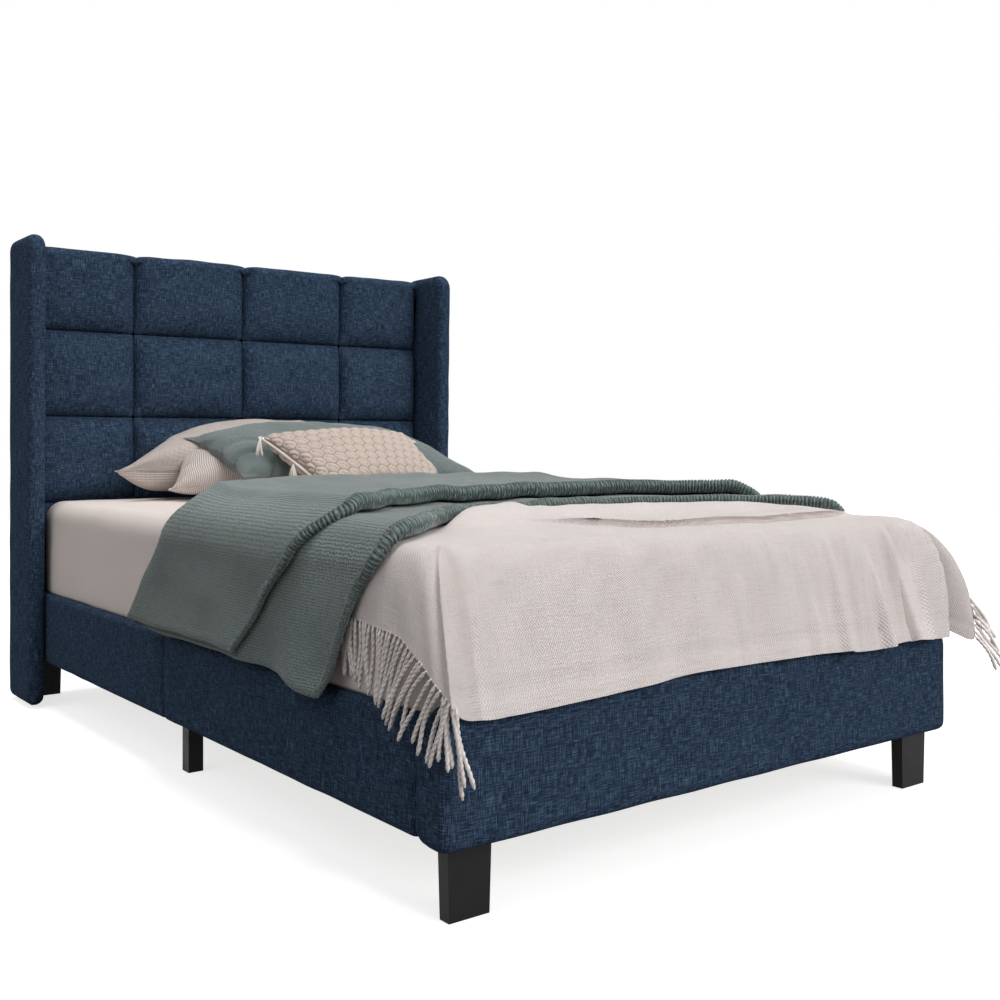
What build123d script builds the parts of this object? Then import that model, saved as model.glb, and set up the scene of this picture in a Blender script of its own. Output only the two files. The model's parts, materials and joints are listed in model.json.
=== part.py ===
from build123d import *
import math
import os

# An upholstered wing-back platform bed, small double, dressed with its mattress and bedding.
# Millimetres. +X is to the right seen from the foot, +Y points to the head, +Z is up.
# The origin is on the floor, under the middle of the whole object.

os.makedirs("parts", exist_ok=True)

# Frame
frame_width = 1260.0  # outside of the side rails, which is also the gap between the wings
frame_length = 1955.0  # foot face to the face of the headboard pad
base_clearance = 117.0  # floor to the underside of the side rails
rail_height = 185.0
overrun = 5.0  # how far every cut runs past what it cuts
same_place = 0.5  # places nearer than this count as one

# Headboard
headboard_height = 1246.0
tuft_depth = 46.0
front_board_thickness = 12.0
stile_depth = 27.0
back_cloth_thickness = 2.0
stile_width = 70.0
cross_rail_height = 70.0
top_wrap = 14.0
top_wrap_radius = 10.0
inner_column_width = 340.0
top_row_height = 227.0
tufts_below_mattress = 4.5
tufted_rows = 4
pinch_depth = 26.0  # from the crown of a square to the seam between two squares
shoulder_width = 30.0
crown_rise = 9.0
lower_pad_radius = 6.0

# Wings
wing_thickness = 45.0
wing_height = 1257.0
wing_floor_gap = 6.0
wing_reach_top = 124.0  # how far the wing stands out from the headboard pad
wing_reach_bottom = 102.0
wing_corner_radius = 32.0
wing_back_corner_radius = 8.0
wing_edge_radius = 20.0
wing_board_thickness = 15.0
wing_board_inset = 26.0

# Side rails
rail_board_thickness = 20.0
rail_pad_thickness = 12.0
rail_wrap = 4.0
rail_edge_radius = 8.0
rail_joint_from_foot = 1047.0
rail_joint_gap = 1.0

# Foot rail
foot_board_thickness = 22.0
foot_pad_thickness = 28.0
foot_return = 80.0
foot_crest = 20.0  # how far the foot pad stands above the side rails
foot_drop = 5.0  # how far it reaches below them
foot_corner_radius = 26.0
foot_top_radius = 16.0
foot_bottom_radius = 12.0
corner_block_width = 45.0
corner_block_length = 60.0

# Slats and what carries them
slat_width = 65.0
slat_thickness = 14.0
slat_end_gap = 4.0
foot_roll_slat_count = 7
head_roll_slat_count = 6
first_slat_from_board = 36.0
last_slat_from_pad = 100.0
ledge_width = 28.0
ledge_height = 30.0
strap_width = 25.0
strap_thickness = 1.5
strap_gap = 0.2
strap_from_centre = 300.0
beam_width = 40.0
beam_height = 60.0

# Brackets
steel = 3.0  # thickness of every plate and bracket
saddle_length = 40.0
saddle_flange = 22.0
beam_plate_length = 180.0
beam_plate_margin = 12.0
rail_plate_length = 200.0
rail_plate_height = 83.0
rail_plate_rise = 33.0
shelf_reach = 53.0
shelf_length = 50.0
hanger_height = 100.0
hanger_rise = 33.0
hanger_reach = 64.0

# Legs
leg_width_top = 80.0
leg_width_bottom = 74.0
leg_depth_top = 26.0
leg_depth_bottom = 24.0
foot_leg_side_inset = 28.0
foot_leg_face_inset = 32.0
rear_leg_side_inset = 10.0
post_size = 33.0
side_post_inset = 49.0
side_post_before_joint = 6.0
centre_post_pitch = 470.0

# Bolts
bolt_radius = 4.0
bolt_clearance = 0.2
bolt_head_radius = 7.5
bolt_head_height = 5.0
small_bolt_radius = 3.0
small_bolt_head_radius = 5.5
small_bolt_head_height = 3.5
stud_length = 100.0
headboard_bolt_length = 80.0
corner_bolt_length = 76.0
wing_bolt_length = 95.0
wing_bolt_height_shares = (0.3, 0.55, 0.85)
plate_bolt_length = 16.0

# Mattress and fitted sheet
mattress_side_inset = 18.0  # from the outside of a rail to the side of the mattress
mattress_foot_gap = 2.0
mattress_head_gap = 3.0
mattress_thickness = 243.0
mattress_top_round = 46.0
mattress_bottom_round = 14.0
mattress_corner_radius = 60.0
sheet_thickness = 1.5
sheet_hem_rise = 4.0

# Throw blanket
throw_thickness = 5.0
throw_length_on_top = 590.0
throw_cap_drop = 66.0  # how far down it hugs the mattress
throw_hem_rise = 10.0  # from the top of the rails to the hem, and so for the rises below
throw_stand_off = 3.0
throw_fold_depth = 15.0  # peak to valley of the folds at the hem
throw_shallow_fold = 3.0  # the same where the folds begin
throw_side_flare = 28.0
throw_flare_run = 140.0
throw_side_folds = 1
throw_foot_folds = 7
throw_side_hem_head_rise = 126.0
throw_side_hem_foot_rise = 112.0
throw_corner_hem_rise = 30.0

# Duvet, folded back on itself
duvet_side_clearance = 6.5
duvet_lower_thickness = 30.0
duvet_upper_thickness = 40.0
duvet_side_thickness = 20.0
duvet_inner_radius = 48.0
duvet_fold_from_pad = 1010.0
duvet_fold_bow_from_pad = 705.0
duvet_fold_swing = 190.0  # how far an edge swings to the head as it hangs down
duvet_lower_hem_rise = 2.5
duvet_upper_hem_rise = 16.0
duvet_lower_edge = 159.0
duvet_lower_edge_bow = 310.0
duvet_lower_swing = 163.0
duvet_upper_edge = 344.0
duvet_upper_edge_bow = 430.0
duvet_upper_swing = 240.0

# Pillows
bed_pillow_width = 800.0
bed_pillow_height = 450.0
bed_pillow_thickness = 124.0
knit_pillow_width = 508.0
knit_pillow_height = 305.0
knit_pillow_thickness = 104.0
pillow_seam_thickness = 5.0
# A pillow's sections along its width: place, height and thickness, each as a share.
pillow_station_shares = (
    (-1.0, 1.0, 0.0),
    (-0.86, 0.97, 0.42),
    (-0.5, 0.95, 0.86),
    (0.0, 0.94, 1.0),
    (0.5, 0.95, 0.86),
    (0.86, 0.97, 0.42),
    (1.0, 1.0, 0.0),
)
front_pillow = {"tilt": 14.0, "shift": 45.0, "from_pad": 262.0, "rise": 62.0}
back_pillow = {"tilt": 28.0, "shift": -31.0, "from_pad": 205.0, "rise": 112.0}
green_pillow = {"tilt": 18.0, "shift": 130.0, "from_pad": 375.0, "rise": 125.0}
knit_pillow = {"tilt": 22.0, "shift": 118.0, "from_pad": 492.0, "rise": 146.0}

# Places worked out from the sizes above
half_width = frame_width / 2
throw_overhang = throw_stand_off + throw_thickness + throw_fold_depth
headboard_depth = tuft_depth + front_board_thickness + stile_depth + back_cloth_thickness
overall_length = throw_overhang + frame_length + headboard_depth
foot_face = throw_overhang - overall_length / 2
pad_face = foot_face + frame_length
board_face = pad_face + tuft_depth
stile_face = board_face + front_board_thickness
back_face = pad_face + headboard_depth
stile_back = back_face - back_cloth_thickness
rail_top = base_clearance + rail_height
rail_outer_board = half_width - rail_pad_thickness
rail_inner = rail_outer_board - rail_board_thickness
rail_joint = foot_face + rail_joint_from_foot
foot_board_face = foot_face + foot_pad_thickness
foot_board_back = foot_board_face + foot_board_thickness
slat_bottom = rail_top - slat_thickness
ledge_bottom = slat_bottom - ledge_height
beam_bottom = slat_bottom - beam_height
stile_top = headboard_height - top_wrap
tuft_bottom = rail_top - tufts_below_mattress
row_pitch = (headboard_height - top_row_height - tuft_bottom) / (tufted_rows - 1)
slat_count = foot_roll_slat_count + head_roll_slat_count
first_slat = foot_board_back + first_slat_from_board
last_slat = pad_face - last_slat_from_pad - slat_width
slat_pitch = (last_slat - first_slat) / (slat_count - 1)
mattress_half_width = half_width - mattress_side_inset
mattress_head = pad_face - mattress_head_gap
mattress_foot = foot_board_back + mattress_foot_gap
mattress_top = rail_top + mattress_thickness
sheet_top = mattress_top + sheet_thickness
throw_top = sheet_top + throw_thickness
sheet_half_width = mattress_half_width + sheet_thickness
sheet_foot = mattress_foot - sheet_thickness
shelf_height = base_clearance + rail_plate_rise + rail_plate_height
foot_leg_x = half_width - foot_leg_side_inset - leg_width_top / 2
foot_leg_y = foot_face + foot_leg_face_inset + leg_depth_top / 2
rear_leg_x = half_width - rear_leg_side_inset - leg_width_top / 2
rear_leg_y = stile_back - leg_depth_top / 2
side_post_x = half_width - side_post_inset - post_size / 2
side_post_y = rail_joint - side_post_before_joint
centre_posts = {
    "foot": side_post_y - centre_post_pitch,
    "middle": side_post_y,
    "head": side_post_y + centre_post_pitch,
}
sides = {"left": -1, "right": 1}
seat = (Align.CENTER, Align.CENTER, Align.MIN)


def save(piece, name):
    """Labels one finished piece and writes its file."""
    piece.part.label = name
    export_step(piece.part, f"parts/{name}.step")


def slab(low, high, mode=Mode.ADD):
    """A box from its lowest to its highest corner, in the part being built."""
    with Locations(Location(low)):
        Box(*(b - a for a, b in zip(low, high)), align=(Align.MIN,) * len(low), mode=mode)


def side_slab(side, inner, outer, y, z, mode=Mode.ADD):
    """A box between two distances from the middle of the bed, on the left (-1) or the right (1)."""
    x = sorted((side * inner, side * outer))
    slab((x[0], y[0], z[0]), (x[1], y[1], z[1]), mode)


def drill(places, radius, length):
    """Straight clearance holes, cut from the part being built."""
    for start, direction in places:
        with Locations(Plane(origin=start, z_dir=direction).location):
            Cylinder(radius + bolt_clearance, length + bolt_clearance, align=seat, mode=Mode.SUBTRACT)


def drive(places, radius, length, head_radius, head_height):
    """Hexagon bolts whose heads sit at each start and whose shanks run along each direction."""
    for start, direction in places:
        face = Plane(origin=start, z_dir=direction)
        with Locations(face.location):
            Cylinder(radius, length, align=seat)
        with BuildSketch(face) as head:
            RegularPolygon(head_radius, 6)
        extrude(head.sketch, amount=-head_height)


# Where the bolts go. Each place is a start and a direction, shared by a bolt and its holes.
def headboard_bolts(side):
    x = side * (rail_inner - hanger_reach / 2)
    rows = (hanger_height / 4, hanger_height * 3 / 4)
    return [((x, pad_face - steel, base_clearance + hanger_rise + row), (0, 1, 0)) for row in rows]


def corner_bolts(side):
    x = side * (rail_inner - corner_block_width / 2)
    y = foot_board_back + corner_block_length
    rows = (rail_height / 4, rail_height * 3 / 5)
    return [((x, y, base_clearance + row), (0, -1, 0)) for row in rows]


def wing_bolts(side):
    x = side * (half_width - stile_width)
    y = (stile_face + stile_back) / 2
    return [((x, y, share * headboard_height), (side, 0, 0)) for share in wing_bolt_height_shares]


def rail_plate_bolts(side):
    x = side * (rail_inner - steel)
    z = base_clearance + rail_plate_rise + rail_plate_height / 2
    steps = (-rail_plate_length * 3 / 8, rail_plate_length * 3 / 8)
    return [((x, rail_joint + step, z), (side, 0, 0)) for step in steps]


def beam_plate_bolts(side):
    x = side * (beam_width / 2 + steel)
    z = beam_bottom + beam_height / 2
    steps = (-beam_plate_length / 4, beam_plate_length / 4)
    return [((x, rail_joint + step, z), (-side, 0, 0)) for step in steps]


def saddle_bolts(end):
    """end is -1 at the foot board and 1 at the headboard."""
    y = pad_face - steel if end > 0 else foot_board_back + steel
    x = beam_width / 2 + saddle_flange * 2 / 3
    z = beam_bottom + beam_height / 2
    return [((side * x, y, z), (0, end, 0)) for side in sides.values()]


def leg_studs(side):
    foot = base_clearance - foot_drop - stud_length / 2
    rear = base_clearance - stud_length / 2
    return [
        ((side * foot_leg_x, foot_leg_y, foot), (0, 0, 1)),
        ((side * rear_leg_x, rear_leg_y, rear), (0, 0, 1)),
    ]


def side_post_stud(side):
    return [((side * side_post_x, side_post_y, shelf_height), (0, 0, -1))]


def centre_post_stud(y):
    return [((0, y, beam_bottom - stud_length / 2), (0, 0, 1))]


# Headboard
def tuft_outline(low, high, swap):
    """One square of the headboard in section: flat back, rounded shoulders and a crowned front."""
    seam = pad_face + pinch_depth
    shoulder = pad_face + crown_rise
    turn = 1 - math.sqrt(2) / 2
    across_turn = shoulder_width * turn
    deep_turn = shoulder + (seam - shoulder) * turn

    def at(across, deep):
        return (deep, across) if swap else (across, deep)

    with BuildLine() as outline:
        Polyline(at(low, seam), at(low, board_face), at(high, board_face), at(high, seam))
        ThreePointArc(
            at(high, seam), at(high - across_turn, deep_turn), at(high - shoulder_width, shoulder)
        )
        ThreePointArc(
            at(high - shoulder_width, shoulder),
            at((low + high) / 2, pad_face),
            at(low + shoulder_width, shoulder),
        )
        ThreePointArc(
            at(low + shoulder_width, shoulder), at(low + across_turn, deep_turn), at(low, seam)
        )
    return outline.edges()


def make_tuft_rows():
    columns = (-half_width, -inner_column_width, 0, inner_column_width, half_width)
    for row in range(tufted_rows):
        low = headboard_height - top_row_height - row * row_pitch
        high = low + row_pitch if row else headboard_height
        with BuildPart() as tuft_row:
            with BuildSketch(Plane.XY.offset(low)):
                for left, right in zip(columns, columns[1:]):
                    make_face(tuft_outline(left, right, swap=False))
            extrude(amount=high - low)
            with BuildSketch(Plane.YZ.offset(-half_width)):
                make_face(tuft_outline(low, high, swap=True))
            extrude(amount=frame_width, mode=Mode.INTERSECT)
            if row == 0:
                slab((-half_width, board_face, stile_top), (half_width, back_face, headboard_height))
                back_edge = tuft_row.edges().filter_by(Axis.X).sort_by(Axis.Y).group_by(Axis.Z)[-1]
                fillet(back_edge.sort_by(Axis.Y)[-1], top_wrap_radius)
        save(tuft_row, f"headboard_tuft_row_{row + 1}")


def make_lower_pad():
    with BuildPart() as pad:
        slab((-half_width, pad_face, base_clearance), (half_width, board_face, tuft_bottom))
        front = pad.edges().filter_by(Axis.X).group_by(Axis.Y)[0]
        fillet(front.sort_by(Axis.Z)[0], lower_pad_radius)
        for side in sides.values():
            drill(headboard_bolts(side), bolt_radius, headboard_bolt_length)
        drill(saddle_bolts(1), small_bolt_radius, plate_bolt_length)
    save(pad, "headboard_lower_pad")


def make_headboard_frame():
    with BuildPart() as front_board:
        slab((-half_width, board_face, base_clearance), (half_width, stile_face, stile_top))
        for side in sides.values():
            drill(headboard_bolts(side), bolt_radius, headboard_bolt_length)
    save(front_board, "headboard_front_board")

    for name, side in sides.items():
        with BuildPart() as stile:
            side_slab(
                side,
                half_width - stile_width,
                half_width,
                (stile_face, stile_back),
                (base_clearance, stile_top),
            )
            drill(headboard_bolts(side), bolt_radius, headboard_bolt_length)
            drill(wing_bolts(side), bolt_radius, wing_bolt_length)
            drill(leg_studs(side), bolt_radius, stud_length)
        save(stile, f"headboard_stile_{name}")

    reach = half_width - stile_width
    for name, low in (("bottom", base_clearance), ("top", stile_top - cross_rail_height)):
        with BuildPart() as cross_rail:
            slab((-reach, stile_face, low), (reach, stile_back, low + cross_rail_height))
        save(cross_rail, f"headboard_cross_rail_{name}")

    with BuildPart() as back_cloth:
        slab((-half_width, stile_back, base_clearance), (half_width, back_face, stile_top))
    save(back_cloth, "headboard_back_cloth")


# Wings
def wing_profile(inset, bottom):
    """A wing seen from the side, drawn in by an inset all round but at its bottom."""
    top = wing_height - inset
    drop = wing_height - wing_floor_gap
    taper = (wing_reach_top - wing_reach_bottom) / drop
    front_top = pad_face - wing_reach_top + inset
    front_bottom = front_top + taper * (top - bottom)
    back = back_face - inset
    with BuildLine() as outline:
        Polyline(
            (front_top, top), (back, top), (back, bottom), (front_bottom, bottom), (front_top, top)
        )
    return outline.edges()


def make_wings():
    middle = wing_thickness / 2
    board_from = middle - wing_board_thickness / 2
    board_to = middle + wing_board_thickness / 2
    for name, side in sides.items():
        with BuildPart() as board:
            with BuildSketch(Plane.YZ.offset(side * (half_width + board_from))):
                make_face(wing_profile(wing_board_inset, wing_floor_gap))
            extrude(amount=side * (board_to - board_from))
            drill(wing_bolts(side), bolt_radius, wing_bolt_length)
        save(board, f"wing_board_{name}")

        with BuildPart() as pad:
            with BuildSketch(Plane.YZ.offset(side * half_width)) as outline:
                make_face(wing_profile(0, wing_floor_gap))
                front = outline.vertices().group_by(Axis.X)
                fillet(front[0] + front[1], wing_corner_radius)
                fillet(outline.vertices().group_by(Axis.X)[-1], wing_back_corner_radius)
            extrude(amount=side * wing_thickness)
            rim = pad.faces().filter_by(Axis.X)
            shown = [
                edge
                for face in rim
                for edge in face.edges()
                if edge.center().Y < back_face - wing_corner_radius
                and edge.center().Z > wing_floor_gap + same_place
            ]
            fillet(shown, wing_edge_radius)
            with BuildSketch(Plane.YZ.offset(side * (half_width + board_from))):
                make_face(wing_profile(wing_board_inset, wing_floor_gap - overrun))
            extrude(amount=side * (board_to - board_from), mode=Mode.SUBTRACT)
            drill(wing_bolts(side), bolt_radius, wing_bolt_length)
        save(pad, f"wing_pad_{name}")


# Side rails
def make_side_rails():
    halves = {
        "foot": (foot_board_back, foot_face + foot_return, rail_joint - rail_joint_gap / 2),
        "head": (rail_joint + rail_joint_gap / 2, rail_joint + rail_joint_gap / 2, pad_face),
    }
    board_z = (base_clearance + rail_wrap, rail_top - rail_wrap)
    for name, side in sides.items():
        for half, (board_start, pad_start, end) in halves.items():
            with BuildPart() as board:
                side_slab(side, rail_inner, rail_outer_board, (board_start, end), board_z)
                drill(rail_plate_bolts(side), small_bolt_radius, plate_bolt_length)
            save(board, f"rail_board_{name}_{half}")

            with BuildPart() as pad:
                side_slab(side, rail_inner, half_width, (pad_start, end), (base_clearance, rail_top))
                outer = pad.edges().filter_by(Axis.Y).group_by(Axis.X)[0 if side < 0 else -1]
                fillet(outer, rail_edge_radius)
                cut_y = (pad_start - overrun, end + overrun)
                side_slab(
                    side, rail_inner - overrun, rail_outer_board, cut_y, board_z, Mode.SUBTRACT
                )
            save(pad, f"rail_pad_{name}_{half}")

        with BuildPart() as ledges:
            start = foot_board_back + corner_block_length
            for low, high in ((start, halves["foot"][-1]), (halves["head"][0], pad_face)):
                side_slab(
                    side, rail_inner - ledge_width, rail_inner, (low, high), (ledge_bottom, slat_bottom)
                )
        save(ledges, f"slat_ledges_{name}")

        with BuildPart() as plate:
            y = (rail_joint - rail_plate_length / 2, rail_joint + rail_plate_length / 2)
            z = (base_clearance + rail_plate_rise, shelf_height)
            side_slab(side, rail_inner - steel, rail_inner, y, z)
            shelf_y = (side_post_y - shelf_length / 2, side_post_y + shelf_length / 2)
            shelf_z = (shelf_height - steel, shelf_height)
            side_slab(side, rail_inner - shelf_reach, rail_inner - steel, shelf_y, shelf_z)
            drill(rail_plate_bolts(side), small_bolt_radius, plate_bolt_length)
            drill(side_post_stud(side), bolt_radius, stud_length)
        save(plate, f"rail_joint_plate_{name}")

        with BuildPart() as hanger:
            z = (base_clearance + hanger_rise, base_clearance + hanger_rise + hanger_height)
            side_slab(side, rail_inner - steel, rail_inner, (pad_face - hanger_reach, pad_face), z)
            side_slab(side, rail_inner - hanger_reach, rail_inner, (pad_face - steel, pad_face), z)
            drill(headboard_bolts(side), bolt_radius, headboard_bolt_length)
        save(hanger, f"headboard_hanger_{name}")


# Foot rail
def make_foot_rail():
    board_z = (base_clearance + rail_wrap, rail_top - rail_wrap)
    with BuildPart() as board:
        slab(
            (-rail_outer_board, foot_board_face, board_z[0]),
            (rail_outer_board, foot_board_back, board_z[1]),
        )
        for side in sides.values():
            drill(corner_bolts(side), bolt_radius, corner_bolt_length)
            drill(leg_studs(side), bolt_radius, stud_length)
        drill(saddle_bolts(-1), small_bolt_radius, plate_bolt_length)
    save(board, "foot_board")

    with BuildPart() as pad:
        slab(
            (-half_width, foot_face, base_clearance - foot_drop),
            (half_width, foot_board_back, rail_top + foot_crest),
        )
        front = pad.faces().sort_by(Axis.Y)[0]
        fillet(front.edges().filter_by(Axis.Z), foot_corner_radius)
        front = pad.faces().sort_by(Axis.Z)
        fillet(outer_edges(front[-1]), foot_top_radius)
        fillet(outer_edges(pad.faces().sort_by(Axis.Z)[0]), foot_bottom_radius)
        for side in sides.values():
            y = (foot_board_back - overrun, foot_face + foot_return)
            side_slab(side, rail_outer_board, half_width, y, (base_clearance, rail_top))
        slab(
            (-rail_outer_board, foot_board_face, board_z[0]),
            (rail_outer_board, foot_face + foot_return + overrun, board_z[1]),
            Mode.SUBTRACT,
        )
        for side in sides.values():
            drill(corner_bolts(side), bolt_radius, corner_bolt_length)
            drill(leg_studs(side), bolt_radius, stud_length)
    save(pad, "foot_pad")

    for name, side in sides.items():
        with BuildPart() as block:
            y = (foot_board_back, foot_board_back + corner_block_length)
            z = (board_z[0], slat_bottom)
            side_slab(side, rail_inner - corner_block_width, rail_inner, y, z)
            drill(corner_bolts(side), bolt_radius, corner_bolt_length)
        save(block, f"corner_block_{name}")


def outer_edges(face):
    """The edges of a foot pad face that are seen from in front, not those against the mattress."""
    return [edge for edge in face.edges() if edge.center().Y < foot_board_back - same_place]


# Centre beam and slats
def make_beam():
    z = (beam_bottom, slat_bottom)
    halves = {
        "foot": (foot_board_back, rail_joint - rail_joint_gap / 2),
        "head": (rail_joint + rail_joint_gap / 2, pad_face),
    }
    for name, (low, high) in halves.items():
        with BuildPart() as beam:
            slab((-beam_width / 2, low, z[0]), (beam_width / 2, high, z[1]))
            for side in sides.values():
                drill(beam_plate_bolts(side), small_bolt_radius, plate_bolt_length)
            for y in centre_posts.values():
                drill(centre_post_stud(y), bolt_radius, stud_length)
        save(beam, f"centre_beam_{name}")

    with BuildPart() as plates:
        y = (rail_joint - beam_plate_length / 2, rail_joint + beam_plate_length / 2)
        plate_z = (z[0] + beam_plate_margin, z[1] - beam_plate_margin)
        for side in sides.values():
            side_slab(side, beam_width / 2, beam_width / 2 + steel, y, plate_z)
            drill(beam_plate_bolts(side), small_bolt_radius, plate_bolt_length)
    save(plates, "beam_joint_plates")

    ends = {"foot": (foot_board_back, -1), "head": (pad_face, 1)}
    channel = beam_width / 2
    for name, (wall, end) in ends.items():
        flange_y = sorted((wall, wall - end * steel))
        cradle_y = sorted((wall, wall - end * saddle_length))
        with BuildPart() as saddle:
            reach = channel + steel + saddle_flange
            slab((-reach, flange_y[0], z[0] - steel), (reach, flange_y[1], z[1] - beam_plate_margin))
            slab(
                (-channel - steel, cradle_y[0], z[0] - steel),
                (channel + steel, cradle_y[1], z[1] - beam_plate_margin),
            )
            slab(
                (-channel, cradle_y[0] - overrun, z[0]),
                (channel, cradle_y[1] + overrun, z[1] + overrun),
                Mode.SUBTRACT,
            )
            drill(saddle_bolts(end), small_bolt_radius, plate_bolt_length)
        save(saddle, f"beam_saddle_{name}")


def make_slats():
    reach = rail_inner - slat_end_gap
    rolls = {
        "foot": (0, foot_roll_slat_count),
        "head": (foot_roll_slat_count, head_roll_slat_count),
    }
    for name, (skipped, count) in rolls.items():
        start = first_slat + skipped * slat_pitch
        end = start + (count - 1) * slat_pitch + slat_width
        with BuildPart() as roll:
            for step in range(count):
                y = start + step * slat_pitch
                slab((-reach, y, slat_bottom), (reach, y + slat_width, rail_top))
            for side in sides.values():
                inner = strap_from_centre - strap_width / 2
                strap_top = slat_bottom - strap_gap
                strap_z = (strap_top - strap_thickness, strap_top)
                side_slab(side, inner, inner + strap_width, (start, end), strap_z)
        save(roll, f"slat_roll_{name}")


# Legs
def tapered_leg(x, y, bottom, top):
    """A flat leg, a little smaller at the floor, in the part being built."""
    with BuildSketch(Plane.XY.offset(bottom)) as low:
        with Locations((x, y)):
            Rectangle(leg_width_bottom, leg_depth_bottom)
    with BuildSketch(Plane.XY.offset(top)) as high:
        with Locations((x, y)):
            Rectangle(leg_width_top, leg_depth_top)
    loft([low.sketch, high.sketch])


def make_legs():
    for name, side in sides.items():
        with BuildPart() as foot_leg:
            tapered_leg(side * foot_leg_x, foot_leg_y, 0, base_clearance - foot_drop)
            drill(leg_studs(side), bolt_radius, stud_length)
        save(foot_leg, f"foot_leg_{name}")

        with BuildPart() as rear_leg:
            tapered_leg(side * rear_leg_x, rear_leg_y, 0, base_clearance)
            drill(leg_studs(side), bolt_radius, stud_length)
        save(rear_leg, f"rear_leg_{name}")

        with BuildPart() as post:
            with Locations((side * side_post_x, side_post_y)):
                Box(post_size, post_size, shelf_height - steel, align=seat)
            drill(side_post_stud(side), bolt_radius, stud_length)
        save(post, f"side_post_{name}")

    for name, y in centre_posts.items():
        with BuildPart() as post:
            with Locations((0, y)):
                Box(post_size, post_size, beam_bottom, align=seat)
            drill(centre_post_stud(y), bolt_radius, stud_length)
        save(post, f"centre_post_{name}")


# Fasteners
def make_bolts():
    with BuildPart() as frame_bolts:
        for side in sides.values():
            for places, length in (
                (headboard_bolts(side), headboard_bolt_length),
                (corner_bolts(side), corner_bolt_length),
                (wing_bolts(side), wing_bolt_length),
            ):
                drive(places, bolt_radius, length, bolt_head_radius, bolt_head_height)
    save(frame_bolts, "frame_bolts")

    with BuildPart() as plate_bolts:
        places = saddle_bolts(-1) + saddle_bolts(1)
        for side in sides.values():
            places += rail_plate_bolts(side) + beam_plate_bolts(side)
        drive(
            places,
            small_bolt_radius,
            plate_bolt_length,
            small_bolt_head_radius,
            small_bolt_head_height,
        )
    save(plate_bolts, "plate_bolts")

    with BuildPart() as studs:
        places = [place for y in centre_posts.values() for place in centre_post_stud(y)]
        for side in sides.values():
            places += leg_studs(side)
        for start, direction in places:
            with Locations(Plane(origin=start, z_dir=direction).location):
                Cylinder(bolt_radius, stud_length, align=seat)
        for side in sides.values():
            drive(
                side_post_stud(side), bolt_radius, stud_length, bolt_head_radius, bolt_head_height
            )
    save(studs, "leg_studs")


# Mattress and fitted sheet
def rounded_block(half_x, foot, head, bottom, top, corner, top_round, bottom_round):
    """A mattress-shaped solid: rounded corners, then rounded top and bottom edges."""
    with BuildPart() as block:
        slab((-half_x, foot, bottom), (half_x, head, top))
        fillet(block.edges().filter_by(Axis.Z), corner)
        fillet(block.faces().sort_by(Axis.Z)[-1].edges(), top_round)
        if bottom_round:
            fillet(block.faces().sort_by(Axis.Z)[0].edges(), bottom_round)
    return block.part


def covering(thickness, bottom, head):
    """The mattress grown by a thickness on its top and sides, down to a bottom."""
    return rounded_block(
        mattress_half_width + thickness,
        mattress_foot - thickness,
        head,
        bottom,
        mattress_top + thickness,
        mattress_corner_radius + thickness,
        mattress_top_round + thickness,
        0,
    )


def make_mattress():
    with BuildPart() as mattress:
        add(
            rounded_block(
                mattress_half_width,
                mattress_foot,
                mattress_head,
                rail_top,
                mattress_top,
                mattress_corner_radius,
                mattress_top_round,
                mattress_bottom_round,
            )
        )
    save(mattress, "mattress")

    hem = rail_top + mattress_bottom_round + sheet_hem_rise
    with BuildPart() as sheet:
        add(covering(sheet_thickness, hem, mattress_head + sheet_thickness))
        add(covering(0, hem - overrun, mattress_head), mode=Mode.SUBTRACT)
    save(sheet, "fitted_sheet")


# Throw blanket
def skirt_outline(side_off, foot_off, depth, inset):
    """The throw seen from above: straight by the head, then wavy to the foot and across it."""
    reach = sheet_half_width - inset
    head = sheet_foot + throw_length_on_top
    corner = mattress_corner_radius + sheet_thickness
    wave_start = sheet_foot + throw_flare_run
    wave_end = sheet_foot + corner
    step = (wave_start - wave_end) / (2 * throw_side_folds)

    def edge_x(y):
        share = (wave_start - y) / (wave_start - wave_end)
        return reach + side_off * share

    def side_points(sign):
        points = []
        for index in range(2 * throw_side_folds):
            start = wave_start - index * step
            middle = start - step / 2
            bulge = depth / 2 * (1 if index % 2 else -1) * (index + 1) / (2 * throw_side_folds)
            points.append(
                (
                    (sign * edge_x(start), start),
                    (sign * (edge_x(middle) + bulge), middle),
                    (sign * edge_x(start - step), start - step),
                )
            )
        return points

    foot_y = sheet_foot - foot_off + inset
    corner_x = sheet_half_width - corner
    width = 2 * corner_x / (2 * throw_foot_folds)
    foot_points = []
    for index in range(2 * throw_foot_folds):
        start = -corner_x + index * width
        bulge = depth / 2 * (1 if index % 2 else -1)
        foot_points.append(
            ((start, foot_y), (start + width / 2, foot_y + bulge), (start + width, foot_y))
        )
    turn = math.sqrt(2) / 2

    def corner_middle(sign):
        across = edge_x(wave_end) - corner_x
        along = wave_end - foot_y
        return (sign * (corner_x + across * turn), wave_end - along * turn)

    with BuildLine() as outline:
        Line((reach, head), (-reach, head))
        Line((-reach, head), (-reach, wave_start))
        for points in side_points(-1):
            ThreePointArc(*points)
        ThreePointArc((-edge_x(wave_end), wave_end), corner_middle(-1), (-corner_x, foot_y))
        for points in foot_points:
            ThreePointArc(*points)
        ThreePointArc((corner_x, foot_y), corner_middle(1), (edge_x(wave_end), wave_end))
        for points in reversed(side_points(1)):
            ThreePointArc(*reversed(points))
        Line((reach, wave_start), (reach, head))
    return outline.edges()


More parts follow.
